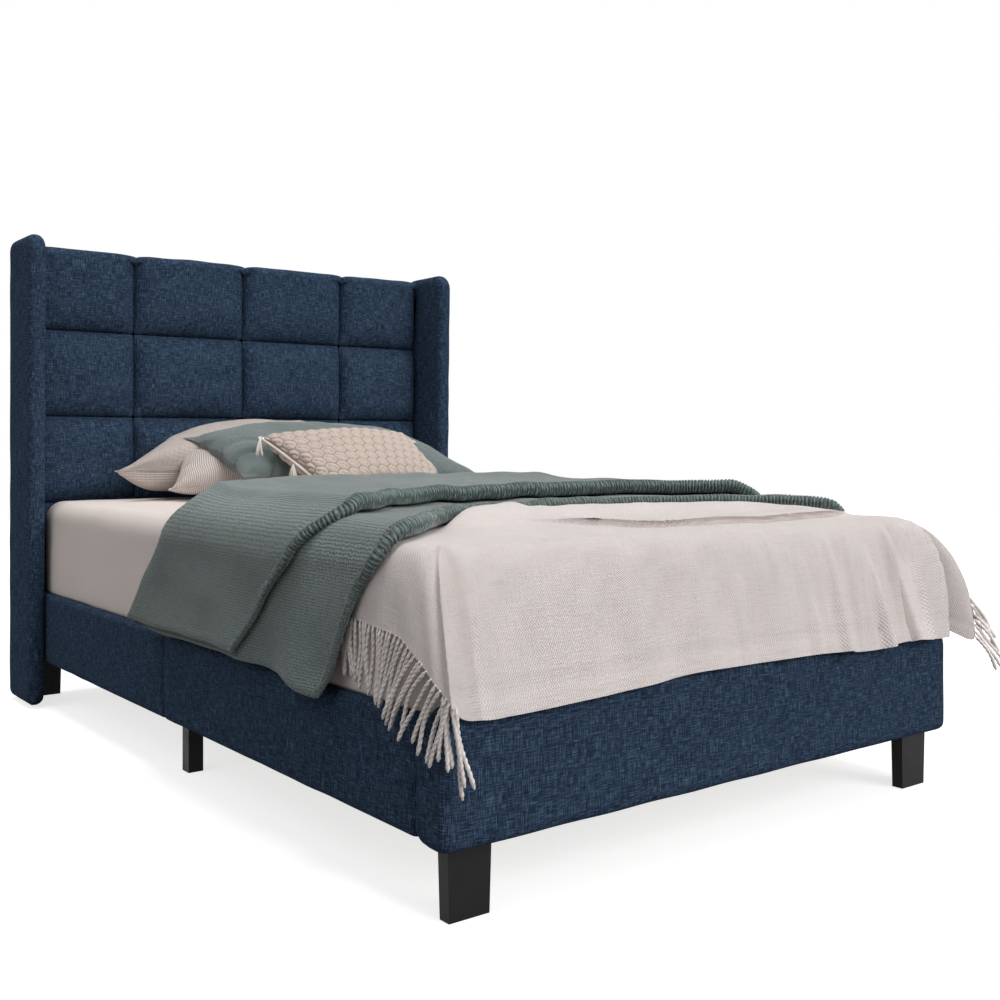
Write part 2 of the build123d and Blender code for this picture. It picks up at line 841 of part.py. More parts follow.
def make_throw():
    cap_bottom = mattress_top - throw_cap_drop
    hem_height = rail_top + throw_hem_rise
    low = hem_height - overrun
    corner_height = rail_top + throw_corner_hem_rise
    head = sheet_foot + throw_length_on_top
    foot_reach = sheet_foot - foot_face + throw_stand_off + throw_fold_depth / 2
    top_off = throw_stand_off + throw_shallow_fold / 2
    with BuildPart() as throw:
        add(covering(sheet_thickness + throw_thickness, cap_bottom, mattress_head))
        slab(
            (-frame_width, head, rail_top), (frame_width, back_face, wing_height), Mode.SUBTRACT
        )
        for inset, mode in ((-throw_thickness, Mode.ADD), (0, Mode.SUBTRACT)):
            with BuildSketch(Plane.XY.offset(hem_height)):
                make_face(
                    skirt_outline(throw_side_flare, foot_reach, throw_fold_depth, inset)
                )
            with BuildSketch(Plane.XY.offset(cap_bottom)):
                make_face(skirt_outline(top_off, top_off, throw_shallow_fold, inset))
            loft(ruled=True, mode=mode)
        add(covering(sheet_thickness, low, mattress_head), mode=Mode.SUBTRACT)
        in_front = foot_face - 2 * throw_overhang
        hem = (
            (in_front, low),
            (in_front, corner_height),
            (sheet_foot, corner_height),
            (sheet_foot + mattress_corner_radius, rail_top + throw_side_hem_foot_rise),
            (head + overrun, rail_top + throw_side_hem_head_rise),
            (head + overrun, low),
        )
        for side in sides.values():
            with BuildSketch(Plane.YZ.offset(side * (sheet_half_width - mattress_corner_radius))):
                with BuildLine():
                    Polyline(*hem, close=True)
                make_face()
            extrude(amount=side * frame_width, mode=Mode.SUBTRACT)
    save(throw, "throw_blanket")


# Duvet
def duvet_section(side_reach, top, radius, bottom):
    """The duvet across the bed: an arch with rounded shoulders, over the mattress."""
    low = rail_top + duvet_lower_hem_rise - bottom
    with BuildLine() as outline:
        Polyline((-side_reach, low), (-side_reach, top - radius))
        RadiusArc((-side_reach, top - radius), (-side_reach + radius, top), radius)
        Line((-side_reach + radius, top), (side_reach - radius, top))
        RadiusArc((side_reach - radius, top), (side_reach, top - radius), radius)
        Polyline((side_reach, top - radius), (side_reach, low), (-side_reach, low))
    return outline.edges()


def duvet_layer(side_thickness, top_thickness, edge, edge_bow, swing, hem):
    """One thickness of the duvet, from its edge near the foot to its fold near the head."""
    reach = sheet_half_width + duvet_side_clearance
    outer = reach + side_thickness
    shoulder = throw_top - duvet_inner_radius
    edge_y = foot_face + edge
    bow_y = foot_face + edge_bow
    fold_y = pad_face - duvet_fold_from_pad
    fold_bow_y = pad_face - duvet_fold_bow_from_pad
    with BuildPart() as layer:
        with BuildSketch(Plane.XY.offset(rail_top)):
            with BuildLine():
                ThreePointArc((-outer, edge_y), (0, bow_y), (outer, edge_y))
                Line((outer, edge_y), (outer, fold_y))
                ThreePointArc((outer, fold_y), (0, fold_bow_y), (-outer, fold_y))
                Line((-outer, fold_y), (-outer, edge_y))
            make_face()
        extrude(amount=wing_height)
        slab(
            (-outer - overrun, foot_face, 0), (outer + overrun, pad_face, shoulder), Mode.SUBTRACT
        )
        with BuildSketch(Plane.YZ.offset(-outer)):
            with BuildLine():
                Polyline(
                    (edge_y, shoulder),
                    (edge_y + swing, hem),
                    (fold_y + duvet_fold_swing, hem),
                    (fold_y, shoulder),
                    close=True,
                )
            make_face()
        extrude(amount=2 * outer)
        with BuildSketch(Plane.XZ.offset(-pad_face)):
            make_face(
                duvet_section(
                    outer, throw_top + top_thickness, duvet_inner_radius + side_thickness, 0
                )
            )
        extrude(amount=frame_length, mode=Mode.INTERSECT)
        with BuildSketch(Plane.XZ.offset(-pad_face)):
            make_face(duvet_section(reach, throw_top, duvet_inner_radius, overrun))
        extrude(amount=frame_length, mode=Mode.SUBTRACT)
    return layer.part


def make_duvet():
    lower = duvet_layer(
        duvet_side_thickness,
        duvet_lower_thickness,
        duvet_lower_edge,
        duvet_lower_edge_bow,
        duvet_lower_swing,
        rail_top + duvet_lower_hem_rise,
    )
    both = duvet_layer(
        2 * duvet_side_thickness,
        duvet_lower_thickness + duvet_upper_thickness,
        duvet_upper_edge,
        duvet_upper_edge_bow,
        duvet_upper_swing,
        rail_top + duvet_upper_hem_rise,
    )
    with BuildPart() as duvet:
        add(lower)
        add(both)
    save(duvet, "duvet")


# Pillows
def pillow_shape(place, width, height, thickness):
    """A pillow leaning back: thin at its seam, crowned in its middle, drawn in along its sides."""
    tilt = math.radians(place["tilt"])
    up = Vector(0, math.cos(tilt), math.sin(tilt))
    centre = Vector(place["shift"], pad_face - place["from_pad"], sheet_top + place["rise"])
    with BuildPart() as pillow:
        for station, height_share, thickness_share in pillow_station_shares:
            origin = centre + Vector(station * width / 2, 0, 0)
            half = height * height_share / 2
            crown = (pillow_seam_thickness + (thickness - pillow_seam_thickness) * thickness_share) / 2
            with BuildSketch(Plane(origin=origin, x_dir=up, z_dir=(1, 0, 0))):
                with BuildLine():
                    ThreePointArc((-half, 0), (0, crown), (half, 0))
                    ThreePointArc((half, 0), (0, -crown), (-half, 0))
                make_face()
        loft()
    return pillow.part


def make_pillows():
    """Each pillow is pressed flat where it rests on the sheet, the headboard and the one below."""
    sizes = {
        "pillow_front": (front_pillow, bed_pillow_width, bed_pillow_height, bed_pillow_thickness),
        "pillow_back": (back_pillow, bed_pillow_width, bed_pillow_height, bed_pillow_thickness),
        "pillow_green": (green_pillow, bed_pillow_width, bed_pillow_height, bed_pillow_thickness),
        "pillow_knit": (
            knit_pillow,
            knit_pillow_width,
            knit_pillow_height,
            knit_pillow_thickness,
        ),
    }
    earlier = []
    for name, (place, width, height, thickness) in sizes.items():
        with BuildPart() as pillow:
            add(pillow_shape(place, width, height, thickness))
            slab((-frame_width, foot_face, 0), (frame_width, back_face, sheet_top), Mode.SUBTRACT)
            slab((-frame_width, pad_face, 0), (frame_width, back_face, wing_height), Mode.SUBTRACT)
            for other in earlier:
                add(other, mode=Mode.SUBTRACT)
            add(pillow.solids().sort_by(SortBy.VOLUME)[-1], mode=Mode.REPLACE)
        earlier.append(pillow.part)
        save(pillow, name)


make_tuft_rows()
make_lower_pad()
make_headboard_frame()
make_wings()
make_side_rails()
make_foot_rail()
make_beam()
make_slats()
make_legs()
make_bolts()
make_mattress()
make_throw()
make_duvet()
make_pillows()
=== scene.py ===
"""A wing-back upholstered bed with its bedding: the fabric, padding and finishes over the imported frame.

Points and sizes are in millimetres until they go into a mesh, and shader sizes are in metres.
"""

import json
import math

import bmesh
import bpy
import numpy as np
from mathutils.bvhtree import BVHTree
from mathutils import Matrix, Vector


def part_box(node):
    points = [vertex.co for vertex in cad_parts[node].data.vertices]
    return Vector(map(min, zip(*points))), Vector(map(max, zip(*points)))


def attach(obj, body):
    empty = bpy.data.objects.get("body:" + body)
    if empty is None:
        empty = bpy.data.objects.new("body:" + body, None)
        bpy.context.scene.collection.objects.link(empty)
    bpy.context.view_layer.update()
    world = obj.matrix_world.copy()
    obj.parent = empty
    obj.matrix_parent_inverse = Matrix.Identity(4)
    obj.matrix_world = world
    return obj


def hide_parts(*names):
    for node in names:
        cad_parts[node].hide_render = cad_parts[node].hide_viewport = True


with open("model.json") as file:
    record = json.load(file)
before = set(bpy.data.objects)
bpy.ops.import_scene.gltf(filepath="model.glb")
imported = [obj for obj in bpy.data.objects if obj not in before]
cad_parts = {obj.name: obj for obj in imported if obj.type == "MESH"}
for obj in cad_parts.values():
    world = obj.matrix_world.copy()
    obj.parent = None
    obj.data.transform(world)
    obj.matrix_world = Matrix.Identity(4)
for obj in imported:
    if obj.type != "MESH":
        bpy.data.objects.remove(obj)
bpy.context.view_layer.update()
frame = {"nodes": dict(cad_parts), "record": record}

MM = 0.001
BODY = "root"
FULL_TURN = 2 * math.pi


# Points, meshes and pieces
def size_of(name):
    """A frame node's lowest and highest corner."""
    low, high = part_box(name)
    return np.array(low) / MM, np.array(high) / MM


def linked(name, data):
    """An object at the origin with that data."""
    made = bpy.data.objects.new(name, data)
    bpy.context.collection.objects.link(made)
    return made


def raw_object(name, points, faces):
    """A smooth mesh object."""
    mesh = bpy.data.meshes.new(name)
    mesh.from_pydata((np.asarray(points) * MM).tolist(), [], [list(map(int, face)) for face in faces])
    mesh.polygons.foreach_set("use_smooth", [True] * len(mesh.polygons))
    mesh.update()
    return linked(name, mesh)


def read(items, key, width=1, kind=float):
    """One value of every item, in rows where it has several numbers."""
    flat = np.empty(len(items) * width, dtype=kind)
    items.foreach_get(key, flat)
    return flat.reshape(-1, width) if width > 1 else flat


def points_of(obj):
    return read(obj.data.vertices, "co", 3) / MM


def set_points(obj, points):
    obj.data.vertices.foreach_set("co", (np.asarray(points) * MM).ravel())
    obj.data.update()


def push_out(obj, height):
    """Moves each point along its normal."""
    set_points(obj, points_of(obj) + read(obj.data.vertex_normals, "vector", 3) * height[:, None])


def take_modifiers(obj):
    """Turns obj's modifiers into plain mesh."""
    bpy.context.view_layer.update()
    graph = bpy.context.evaluated_depsgraph_get()
    mesh = bpy.data.meshes.new_from_object(obj.evaluated_get(graph))
    obj.modifiers.clear()
    obj.data = mesh
    mesh.polygons.foreach_set("use_smooth", [True] * len(mesh.polygons))
    return obj


def modify(obj, kind, **settings):
    modifier = obj.modifiers.new(kind.lower(), kind)
    for key, value in settings.items():
        setattr(modifier, key, value)
    return modifier


def edited(obj, change):
    """Runs a change on obj's mesh opened for editing."""
    shape = bmesh.new()
    shape.from_mesh(obj.data)
    change(shape)
    shape.to_mesh(obj.data)
    shape.free()
    return obj


def face_outwards(obj):
    return edited(obj, lambda shape: bmesh.ops.recalc_face_normals(shape, faces=shape.faces))


def join(name, objects):
    """One object with the meshes of several."""
    shape = bmesh.new()
    for obj in objects:
        shape.from_mesh(obj.data)
        bpy.data.objects.remove(obj)
    mesh = bpy.data.meshes.new(name)
    shape.to_mesh(mesh)
    shape.free()
    return linked(name, mesh)


def keep_values(mesh, label, values):
    """Keeps a value at each of the mesh's points."""
    mesh.attributes.new(label, "FLOAT", "POINT").data.foreach_set("value", values)


def lay_uv(obj, places):
    """A UV map in metres, one place in millimetres for each vertex."""
    corners = read(obj.data.loops, "vertex_index", kind=np.int64)
    layer = obj.data.uv_layers.new(name="cloth")
    layer.data.foreach_set("uv", (np.asarray(places)[corners] * MM).ravel())


def grid_faces(rows, columns, closed=False):
    """Quads of a grid of points, row by row, that may close on itself along each row."""
    step = columns if closed else columns - 1
    row, column = np.meshgrid(np.arange(rows - 1), np.arange(step), indexing="ij")
    here, after = row * columns, (column + 1) % columns
    quads = [here + column, here + after, here + columns + after, here + columns + column]
    return np.stack(quads, axis=-1).reshape(-1, 4).tolist()


def loft(name, sections):
    """A closed tube through equal loops of points, with both ends filled."""
    count, around, _ = sections.shape
    ends = [list(range(around))[::-1], [(count - 1) * around + i for i in range(around)]]
    faces = grid_faces(count, around, closed=True) + ends
    return face_outwards(raw_object(name, sections.reshape(-1, 3), faces))


def crowded(start, end, count):
    """Places from start to end that lie closer together near both."""
    t = np.linspace(0, 1, count + 1)
    return start + (end - start) * (t - 0.75 * np.sin(FULL_TURN * t) / FULL_TURN)


def swell(distance, width, roundness):
    """0 at a seam, rising steeply and then gently to 1 at width from it."""
    t = 1 - np.clip(distance / width, 0, 1)
    return (1 - t**roundness) ** (1 / roundness)


def near(distance, width):
    """1 where the distance is 0, fading out over about that width."""
    return np.exp(-((distance / width) ** 2))


def ripple(points, length, seed, waves=14):
    """Smooth noise, mostly within -1 to 1, with waves of about that length."""
    draw = np.random.default_rng(seed)
    way = draw.normal(size=(waves, points.shape[1]))
    way /= np.linalg.norm(way, axis=1, keepdims=True)
    pitch = length * draw.uniform(0.7, 1.6, waves)
    phase = draw.uniform(0, FULL_TURN, waves)
    total = np.sin(points @ (way * FULL_TURN / pitch[:, None]).T + phase).sum(axis=1)
    return total / math.sqrt(waves * 2)


def smooth_step(value, start, end):
    t = np.clip((value - start) / (end - start), 0, 1)
    return t * t * (3 - 2 * t)


def between(value, start, full, fade, end):
    """1 from full to fade, and 0 before start and after end."""
    return smooth_step(value, start, full) * (1 - smooth_step(value, fade, end))


def through(table, at):
    """A smooth curve through a table of places and the values measured there."""
    places, values = np.array(table, float).T
    slope = np.gradient(values, places)
    index = np.clip(np.searchsorted(places, at) - 1, 0, len(places) - 2)
    span = places[index + 1] - places[index]
    t = np.clip((at - places[index]) / span, 0, 1)
    first, last = values[index], values[index + 1]
    return (
        first * (2 * t**3 - 3 * t**2 + 1)
        + slope[index] * span * (t**3 - 2 * t**2 + t)
        + last * (3 * t**2 - 2 * t**3)
        + slope[index + 1] * span * (t**3 - t**2)
    )


# Node trees
def calc(tree, operation, *values):
    return node(tree, "Math", enumerate(values), operation=operation)[0]


class Value:
    """A node's output; arithmetic with it adds Math nodes."""

    def __init__(self, tree, socket):
        self.tree, self.socket = tree, socket

    def __add__(self, other):
        return calc(self.tree, "ADD", self, other)

    def __sub__(self, other):
        return calc(self.tree, "SUBTRACT", self, other)

    def __rsub__(self, other):
        return calc(self.tree, "SUBTRACT", other, self)

    def __mul__(self, other):
        return calc(self.tree, "MULTIPLY", self, other)

    def __truediv__(self, other):
        return calc(self.tree, "DIVIDE", self, other)

    def __rtruediv__(self, other):
        return calc(self.tree, "DIVIDE", other, self)

    def __pow__(self, other):
        return calc(self.tree, "POWER", self, other)

    def __gt__(self, other):
        return calc(self.tree, "GREATER_THAN", self, other)

    def __abs__(self):
        return calc(self.tree, "ABSOLUTE", self)


class Outputs:
    """A node's outputs as values, by number or name."""

    def __init__(self, tree, sockets):
        self.tree, self.sockets = tree, sockets

    def __getitem__(self, key):
        return Value(self.tree, self.sockets[key])


def node(tree, kind, inputs=(), **settings):
    """A new node's outputs, its inputs set or linked; a shader node's kind has no prefix."""
    made = tree.nodes.new(kind if "Node" in kind else "ShaderNode" + kind)
    for key, value in settings.items():
        setattr(made, key, value)
    for key, value in dict(inputs).items():
        if isinstance(value, Value):
            tree.links.new(value.socket, made.inputs[key])
        else:
            made.inputs[key].default_value = value
    return Outputs(tree, made.outputs)


def split(vector):
    return node(vector.tree, "SeparateXYZ", {0: vector})


def scaled(vector, by):
    return node(vector.tree, "VectorMath", {0: vector, 3: by}, operation="SCALE")[0]


def stretched(vector, scale):
    return node(vector.tree, "Mapping", {"Vector": vector, "Scale": scale})[0]


def noise(vector, scale=1.0, detail=0.0, output=0):
    return node(vector.tree, "TexNoise", {"Vector": vector, "Scale": scale, "Detail": detail})[output]


def sine(value):
    return calc(value.tree, "SINE", value)


def mapped(value, low, high, start=0.0, end=1.0):
    """Takes low to start and high to end, and holds the value between them."""
    return node(value.tree, "MapRange", enumerate((value, low, high, start, end)))[0]


def mix(factor, first, second):
    """A number between two numbers."""
    return node(factor.tree, "Mix", {0: factor, 2: first, 3: second}, data_type="FLOAT")[0]


def blend(factor, first, second):
    """A colour between two colours."""
    return node(factor.tree, "Mix", {0: factor, 6: first, 7: second}, data_type="RGBA")[2]


def shader_group(name, build, **inputs):
    """A shader node group; an input that starts with nothing is a vector."""
    group = bpy.data.node_groups.new(name, "ShaderNodeTree")
    for label, value in inputs.items():
        kind = "NodeSocketVector" if value is None else "NodeSocketFloat"
        socket = group.interface.new_socket(label, in_out="INPUT", socket_type=kind)
        if value is not None:
            socket.default_value = value
    results = build(Outputs(group, group.nodes.new("NodeGroupInput").outputs))
    for label, value in results.items():
        kind = "NodeSocketVector" if value.socket.type == "VECTOR" else "NodeSocketFloat"
        group.interface.new_socket(label, in_out="OUTPUT", socket_type=kind)
    end = group.nodes.new("NodeGroupOutput")
    for label, value in results.items():
        group.links.new(value.socket, end.inputs[label])
    return group


def use(group, **inputs):
    """The group's outputs, placed in the tree that its Place comes from."""
    return node(inputs["Place"].tree, "Group", inputs, node_tree=group)


def build_face_place(given):
    """The two object coordinates that run along a face, by the way it looks."""
    spot = split(given["Place"])
    x, y, z = (abs(way) for way in split(given["Facing"]))
    along = mix((x > y) * (x > z), spot[0], spot[1])
    above = mix((z > y) * (z > x), spot[2], spot[1])
    return {"Flat": node(given.tree, "CombineXYZ", {0: along, 1: above})[0]}


# Uneven threads: how wide and how long their streaks are, in threads, and each kind's share
STREAKS = ((0.8, 12.0, 0.6), (1.4, 34.0, 0.4))


def build_weave(given):
    """Plain weave of uneven threads: its height, and where pale, dark and raised threads show."""
    across, along, _ = split(given["Place"])
    turn = math.pi / given["Pitch"]
    check = sine(across * turn) * sine(along * turn)
    threads = scaled(given["Place"], 1.0 / given["Pitch"])
    slub = 0.0
    for width, length, share in STREAKS:
        for shape in ((1 / width, 1 / length, 1), (1 / length, 1 / width, 1)):
            slub = noise(stretched(threads, shape)) * share + slub
    light, dark = mapped(slub, 1.0, 1.34), mapped(slub, 1.0, 0.66)
    height = check * 0.5 + light * given["Slub"]
    return {"Height": height, "Light": light, "Dark": dark, "Over": mapped(check, -1.0, 1.0)}


def build_mottle(given):
    """Slow uneven colour over a surface, 0 to 1."""
    return {"Value": mapped(noise(scaled(given["Place"], 1.0 / given["Size"]), detail=3.0), 0.3, 0.7)}


def build_ribs(given):
    """Rows of small puffs or cords: ribs one way, broken by shallower ribs the other way."""
    spot, drift = split(given["Place"]), split(noise(given["Place"], 110.0, 1.0, "Color"))
    cells, rows = (
        abs(sine((spot[i] + (drift[i] - 0.5) * given["Wander"]) * (math.pi / given[pitch])))
        for i, pitch in enumerate(("Cell", "Pitch"))
    )
    return {"Height": rows * (1.0 - given["Cut"] * (1.0 - cells))}


def build_grain(given):
    """Sawn wood: long growth rings and fine pores, along one axis of Place."""
    rings = noise(stretched(given["Place"], (14, 1.0, 26)), detail=2.0) * given["Rings"]
    pores = noise(stretched(given["Place"], (900, 25, 900)), detail=2.0)
    return {"Rings": calc(given.tree, "FRACT", rings), "Pores": mapped(pores, 0.42, 0.62)}


face_place = shader_group("face_place", build_face_place, Place=None, Facing=None)
weave = shader_group("weave", build_weave, Place=None, Pitch=0.001, Slub=0.5)
mottle = shader_group("mottle", build_mottle, Place=None, Size=0.1)
ribs = shader_group("ribs", build_ribs, Place=None, Pitch=0.005, Cell=0.005, Cut=0.5, Wander=0.0)
grain = shader_group("grain", build_grain, Place=None, Rings=6.0)


# Finishes
def tone(shown):
    """A linear colour from the 0 to 255 values that a screen shows."""
    return tuple((value / 255) ** 2.2 for value in shown) + (1.0,)


def finish(name, build, roughness=0.95, **constants):
    """A name and its material: build gives what goes into its shader, and its height in metres."""
    made = bpy.data.materials.new(name)
    made.use_nodes = True
    tree = made.node_tree
    shader = tree.nodes["Principled BSDF"].inputs
    shader["Roughness"].default_value = roughness
    for key, value in constants.items():
        shader[key.replace("_", " ")].default_value = value
    result = build(node(tree, "TexCoord"), node(tree, "NewGeometry")["Normal"])
    bump = {"Height": result.pop("Height"), "Distance": 1.0, "Strength": 1.0}
    result["Normal"] = node(tree, "Bump", bump)[0]
    for key, value in result.items():
        tree.links.new(value.socket, shader[key])
    return name, made


def woven(name, base, pale, dark, pitch, slub, relief, on_uv=True, fade=0.1, grid=0.2, **constants):
    """A woven cloth whose threads differ in colour."""
    base, pale, dark = tone(base), tone(pale), tone(dark)

    def build(place, facing):
        flat = place["UV"] if on_uv else use(face_place, Place=place["Object"], Facing=facing)["Flat"]
        threads = use(weave, Place=flat, Pitch=pitch, Slub=slub)
        color = blend(threads["Light"] * slub, base, pale)
        color = blend(threads["Dark"] * slub, color, dark)
        color = blend(threads["Over"] * grid, color, dark)
        color = blend(use(mottle, Place=flat, Size=0.12)["Value"] * fade, color, pale)
        return {"Base Color": color, "Height": threads["Height"] * relief}

    return finish(name, build, **constants)


def ribbed(name, base, low, hollow_shade_color, pitch, cell, cut, wander, relief, stripe_and_furrow_shade, crease=0.03, **constants):
    """A cloth with small ribs or waffle cells: shade is painted into its furrows, which on the striped pillow
    cloth is also its stripe, and into its hollows where the value kept for that painted shade is high.
    """
    base, low, hollow_shade_color = tone(base), tone(low), tone(hollow_shade_color)

    def build(place, facing):
        flat = place["UV"]
        height = use(ribs, Place=flat, Pitch=pitch, Cell=cell, Cut=cut, Wander=wander)["Height"]
        threads = use(weave, Place=flat, Pitch=pitch / 4, Slub=0.3)["Height"]
        creased = use(mottle, Place=flat, Size=crease)["Value"]
        # Painted shade: the furrows between the ribs are blended towards the darker low colour; on the
        # striped cloth this darkening is also its stripe.
        color = blend((1.0 - height) * stripe_and_furrow_shade, base, low)
        color = blend(use(mottle, Place=flat, Size=0.15)["Value"] * 0.12, color, low)
        # Painted shade: darker where the mesh's painted-shade value is high, in gathered furrows and between
        # the knit's puffs.
        color = blend(node(flat.tree, "Attribute", attribute_name="hollow_shade")["Fac"], color, hollow_shade_color)
        fine = threads * (relief / 8) + creased * (crease / 26)
        return {"Base Color": color, "Height": height * relief + fine}

    return finish(name, build, **constants)


def wooden(name, base, ring, rings, **constants):
    """Raw wood with its grain along Y."""
    base, ring = tone(base), tone(ring)

    def build(place, facing):
        lines = use(grain, Place=place["Object"], Rings=rings)
        color = blend(lines["Rings"] * 0.6, base, ring)
        color = blend(lines["Pores"] * 0.18, color, ring)
        return {"Base Color": color, "Height": lines["Pores"] * 0.0001}

    return finish(name, build, **constants)


def coated(name, base, worn, grit, **constants):
    """Paint, plating or moulded plastic: a fine texture, and scuffs that change its gloss."""
    base, worn = tone(base), tone(worn)

    def build(place, facing):
        scuff = use(mottle, Place=place["Object"], Size=0.03)["Value"]
        return {
            "Base Color": blend(scuff * 0.35, base, worn),
            "Roughness": mapped(scuff, 0.0, 1.0, 0.34, 0.5),
            "Height": noise(place["Object"], 900.0, 2.0) * grit,
        }

    return finish(name, build, **constants)


finishes = dict((
    woven(
        "navy_linen", (48, 62, 81), (98, 121, 147), (18, 25, 37), pitch=0.0012, slub=0.95,
        relief=0.0002, on_uv=False, fade=0.04, grid=0.25, Specular_IOR_Level=0.03,
    ),
    woven(
        "oat_throw", (234, 225, 223), (241, 234, 232), (184, 172, 167), pitch=0.0023, slub=0.4,
        relief=0.001, grid=0.75, Sheen_Weight=0.25, Sheen_Roughness=0.5, Specular_IOR_Level=0.15,
    ),
    # The fringe's twisted yarn: a lighter copy of the throw's oat colour, painted light that lifts the
    # strands out of the shade they hang in.
    woven(
        "oat_twist_lit", (246, 238, 234), (250, 244, 240), (226, 214, 208), pitch=0.0012, slub=0.4,
        relief=0.0002, Sheen_Weight=0.15, Specular_IOR_Level=0.1,
    ),
    woven(
        "cream_cord", (238, 230, 224), (244, 238, 233), (214, 202, 194), pitch=0.0012, slub=0.3,
        relief=0.0002, Sheen_Weight=0.15, Specular_IOR_Level=0.1,
    ),
    woven(
        "beige_cotton", (224, 213, 207), (230, 219, 214), (215, 203, 197), pitch=0.0008, slub=0.2,
        relief=0.0001, on_uv=False, fade=0.2, roughness=0.85, Specular_IOR_Level=0.25,
    ),
    woven(
        "mattress_ticking", (226, 224, 220), (238, 236, 232), (206, 204, 200), pitch=0.0016, slub=0.3,
        relief=0.0002, on_uv=False, fade=0.2, roughness=0.85,
    ),
    woven(
        "black_dust_cloth", (26, 26, 28), (40, 40, 43), (16, 16, 18), pitch=0.0012, slub=0.6,
        relief=0.0001, on_uv=False, fade=0.3, roughness=0.8,
    ),
    # A ribbed cloth's second colour is the painted shade in its furrows, and also the stripe of the striped
    # cloth; its third is the painted shade in its hollows.
    ribbed(
        "green_waffle", (127, 142, 140), (50, 60, 57), (36, 44, 41), pitch=0.0046, cell=0.005, cut=1.0,
        wander=0.006, relief=0.0013, stripe_and_furrow_shade=0.6, Sheen_Weight=0.6, Sheen_Roughness=0.35,
        Specular_IOR_Level=0.1,
    ),
    ribbed(
        "beige_stripe", (214, 203, 198), (126, 113, 107), (150, 136, 128), pitch=0.0062, cell=0.012,
        cut=0.15, wander=0.0008, relief=0.0014, stripe_and_furrow_shade=0.8, roughness=0.9, Specular_IOR_Level=0.15,
    ),
    ribbed(
        "cream_knit", (210, 195, 185), (166, 148, 136), (96, 80, 70), pitch=0.0034, cell=0.0026, cut=0.5,
        wander=0.002, relief=0.0006, stripe_and_furrow_shade=0.5, crease=0.012, Sheen_Weight=0.1, Specular_IOR_Level=0.15,
    ),
    wooden("plywood", (205, 178, 138), (170, 138, 98), 3.0, roughness=0.7),
    wooden("pine", (214, 184, 140), (176, 136, 90), 7.0, roughness=0.65),
    coated("black_leg", (30, 30, 30), (38, 38, 38), 0.00004, Specular_IOR_Level=0.12),
    coated("black_steel", (30, 30, 31), (48, 48, 50), 0.00006, Metallic=0.3),
    coated("zinc_steel", (190, 192, 196), (150, 152, 158), 0.00001, Metallic=1.0),
))


def dress(obj, slot, nodes=(), shade=""):
    """Gives a piece its material and its body, and hides the frame nodes that it stands for."""
    obj.data.materials.clear()
    obj.data.materials.append(finishes[shade or slot])
    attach(obj, BODY)
    if nodes:
        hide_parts(*nodes)
    return obj


def finish_frame():
    """Every frame node gets its material, also the ones that a softer piece stands for."""
    for part in frame["record"]["subparts"]:
        for slot in frame["nodes"][part["node"]].material_slots:
            slot.material = finishes[part["material_slot"]]


# Geometry node trees
def geometry_tree(name, build, inputs):
    """A geometry node tree whose result is real, smooth mesh with its material."""
    tree = bpy.data.node_groups.new(name, "GeometryNodeTree")
    kinds = {"Geometry": "Geometry", **dict.fromkeys(inputs, "Float"), "Material": "Material"}
    for label, kind in kinds.items():
        tree.interface.new_socket(label, in_out="INPUT", socket_type="NodeSocket" + kind)
    tree.interface.new_socket("Geometry", in_out="OUTPUT", socket_type="NodeSocketGeometry")
    given = Outputs(tree, tree.nodes.new("NodeGroupInput").outputs)
    smooth = node(tree, "GeometryNodeSetShadeSmooth", {0: build(given)})[0]
    real = node(tree, "GeometryNodeRealizeInstances", {0: smooth})[0]
    painted = node(tree, "GeometryNodeSetMaterial", {0: real, "Material": given["Material"]})[0]
    tree.links.new(painted.socket, tree.nodes.new("NodeGroupOutput").inputs[0])
    return tree


def guide_lines(name, lines, **values):
    """Bare lines of points for a geometry tree to follow, with named values at each point."""
    edges, start = [], 0
    for line in lines:
        edges += [(start + i, start + i + 1) for i in range(len(line) - 1)]
        start += len(line)
    mesh = bpy.data.meshes.new(name)
    mesh.from_pydata((np.concatenate(lines) * MM).tolist(), edges, [])
    for label, value in values.items():
        keep_values(mesh, label, np.concatenate(value))
    return linked(name, mesh)


def grow(obj, tree, slot, **sizes):
    """Runs a geometry tree on obj and keeps the plain mesh; a cloth UV comes from run and round."""
    modifier = modify(obj, "NODES", node_group=tree)
    sizes["Material"] = finishes[slot]
    for item in tree.interface.items_tree:
        if item.in_out == "INPUT" and item.name in sizes:
            modifier[item.identifier] = sizes[item.name]
    take_modifiers(obj)
    places = [read(obj.data.attributes[label].data, "value") / MM for label in ("run", "round")]
    lay_uv(obj, np.stack(places, axis=-1))
    return obj


def attribute(tree, name):
    return node(tree, "GeometryNodeInputNamedAttribute", {"Name": name})[0]


def noted(geometry, name, value):
    """The geometry with a value kept at each point."""
    inputs = {"Geometry": geometry, "Name": name, "Value": value}
    return node(geometry.tree, "GeometryNodeStoreNamedAttribute", inputs)[0]


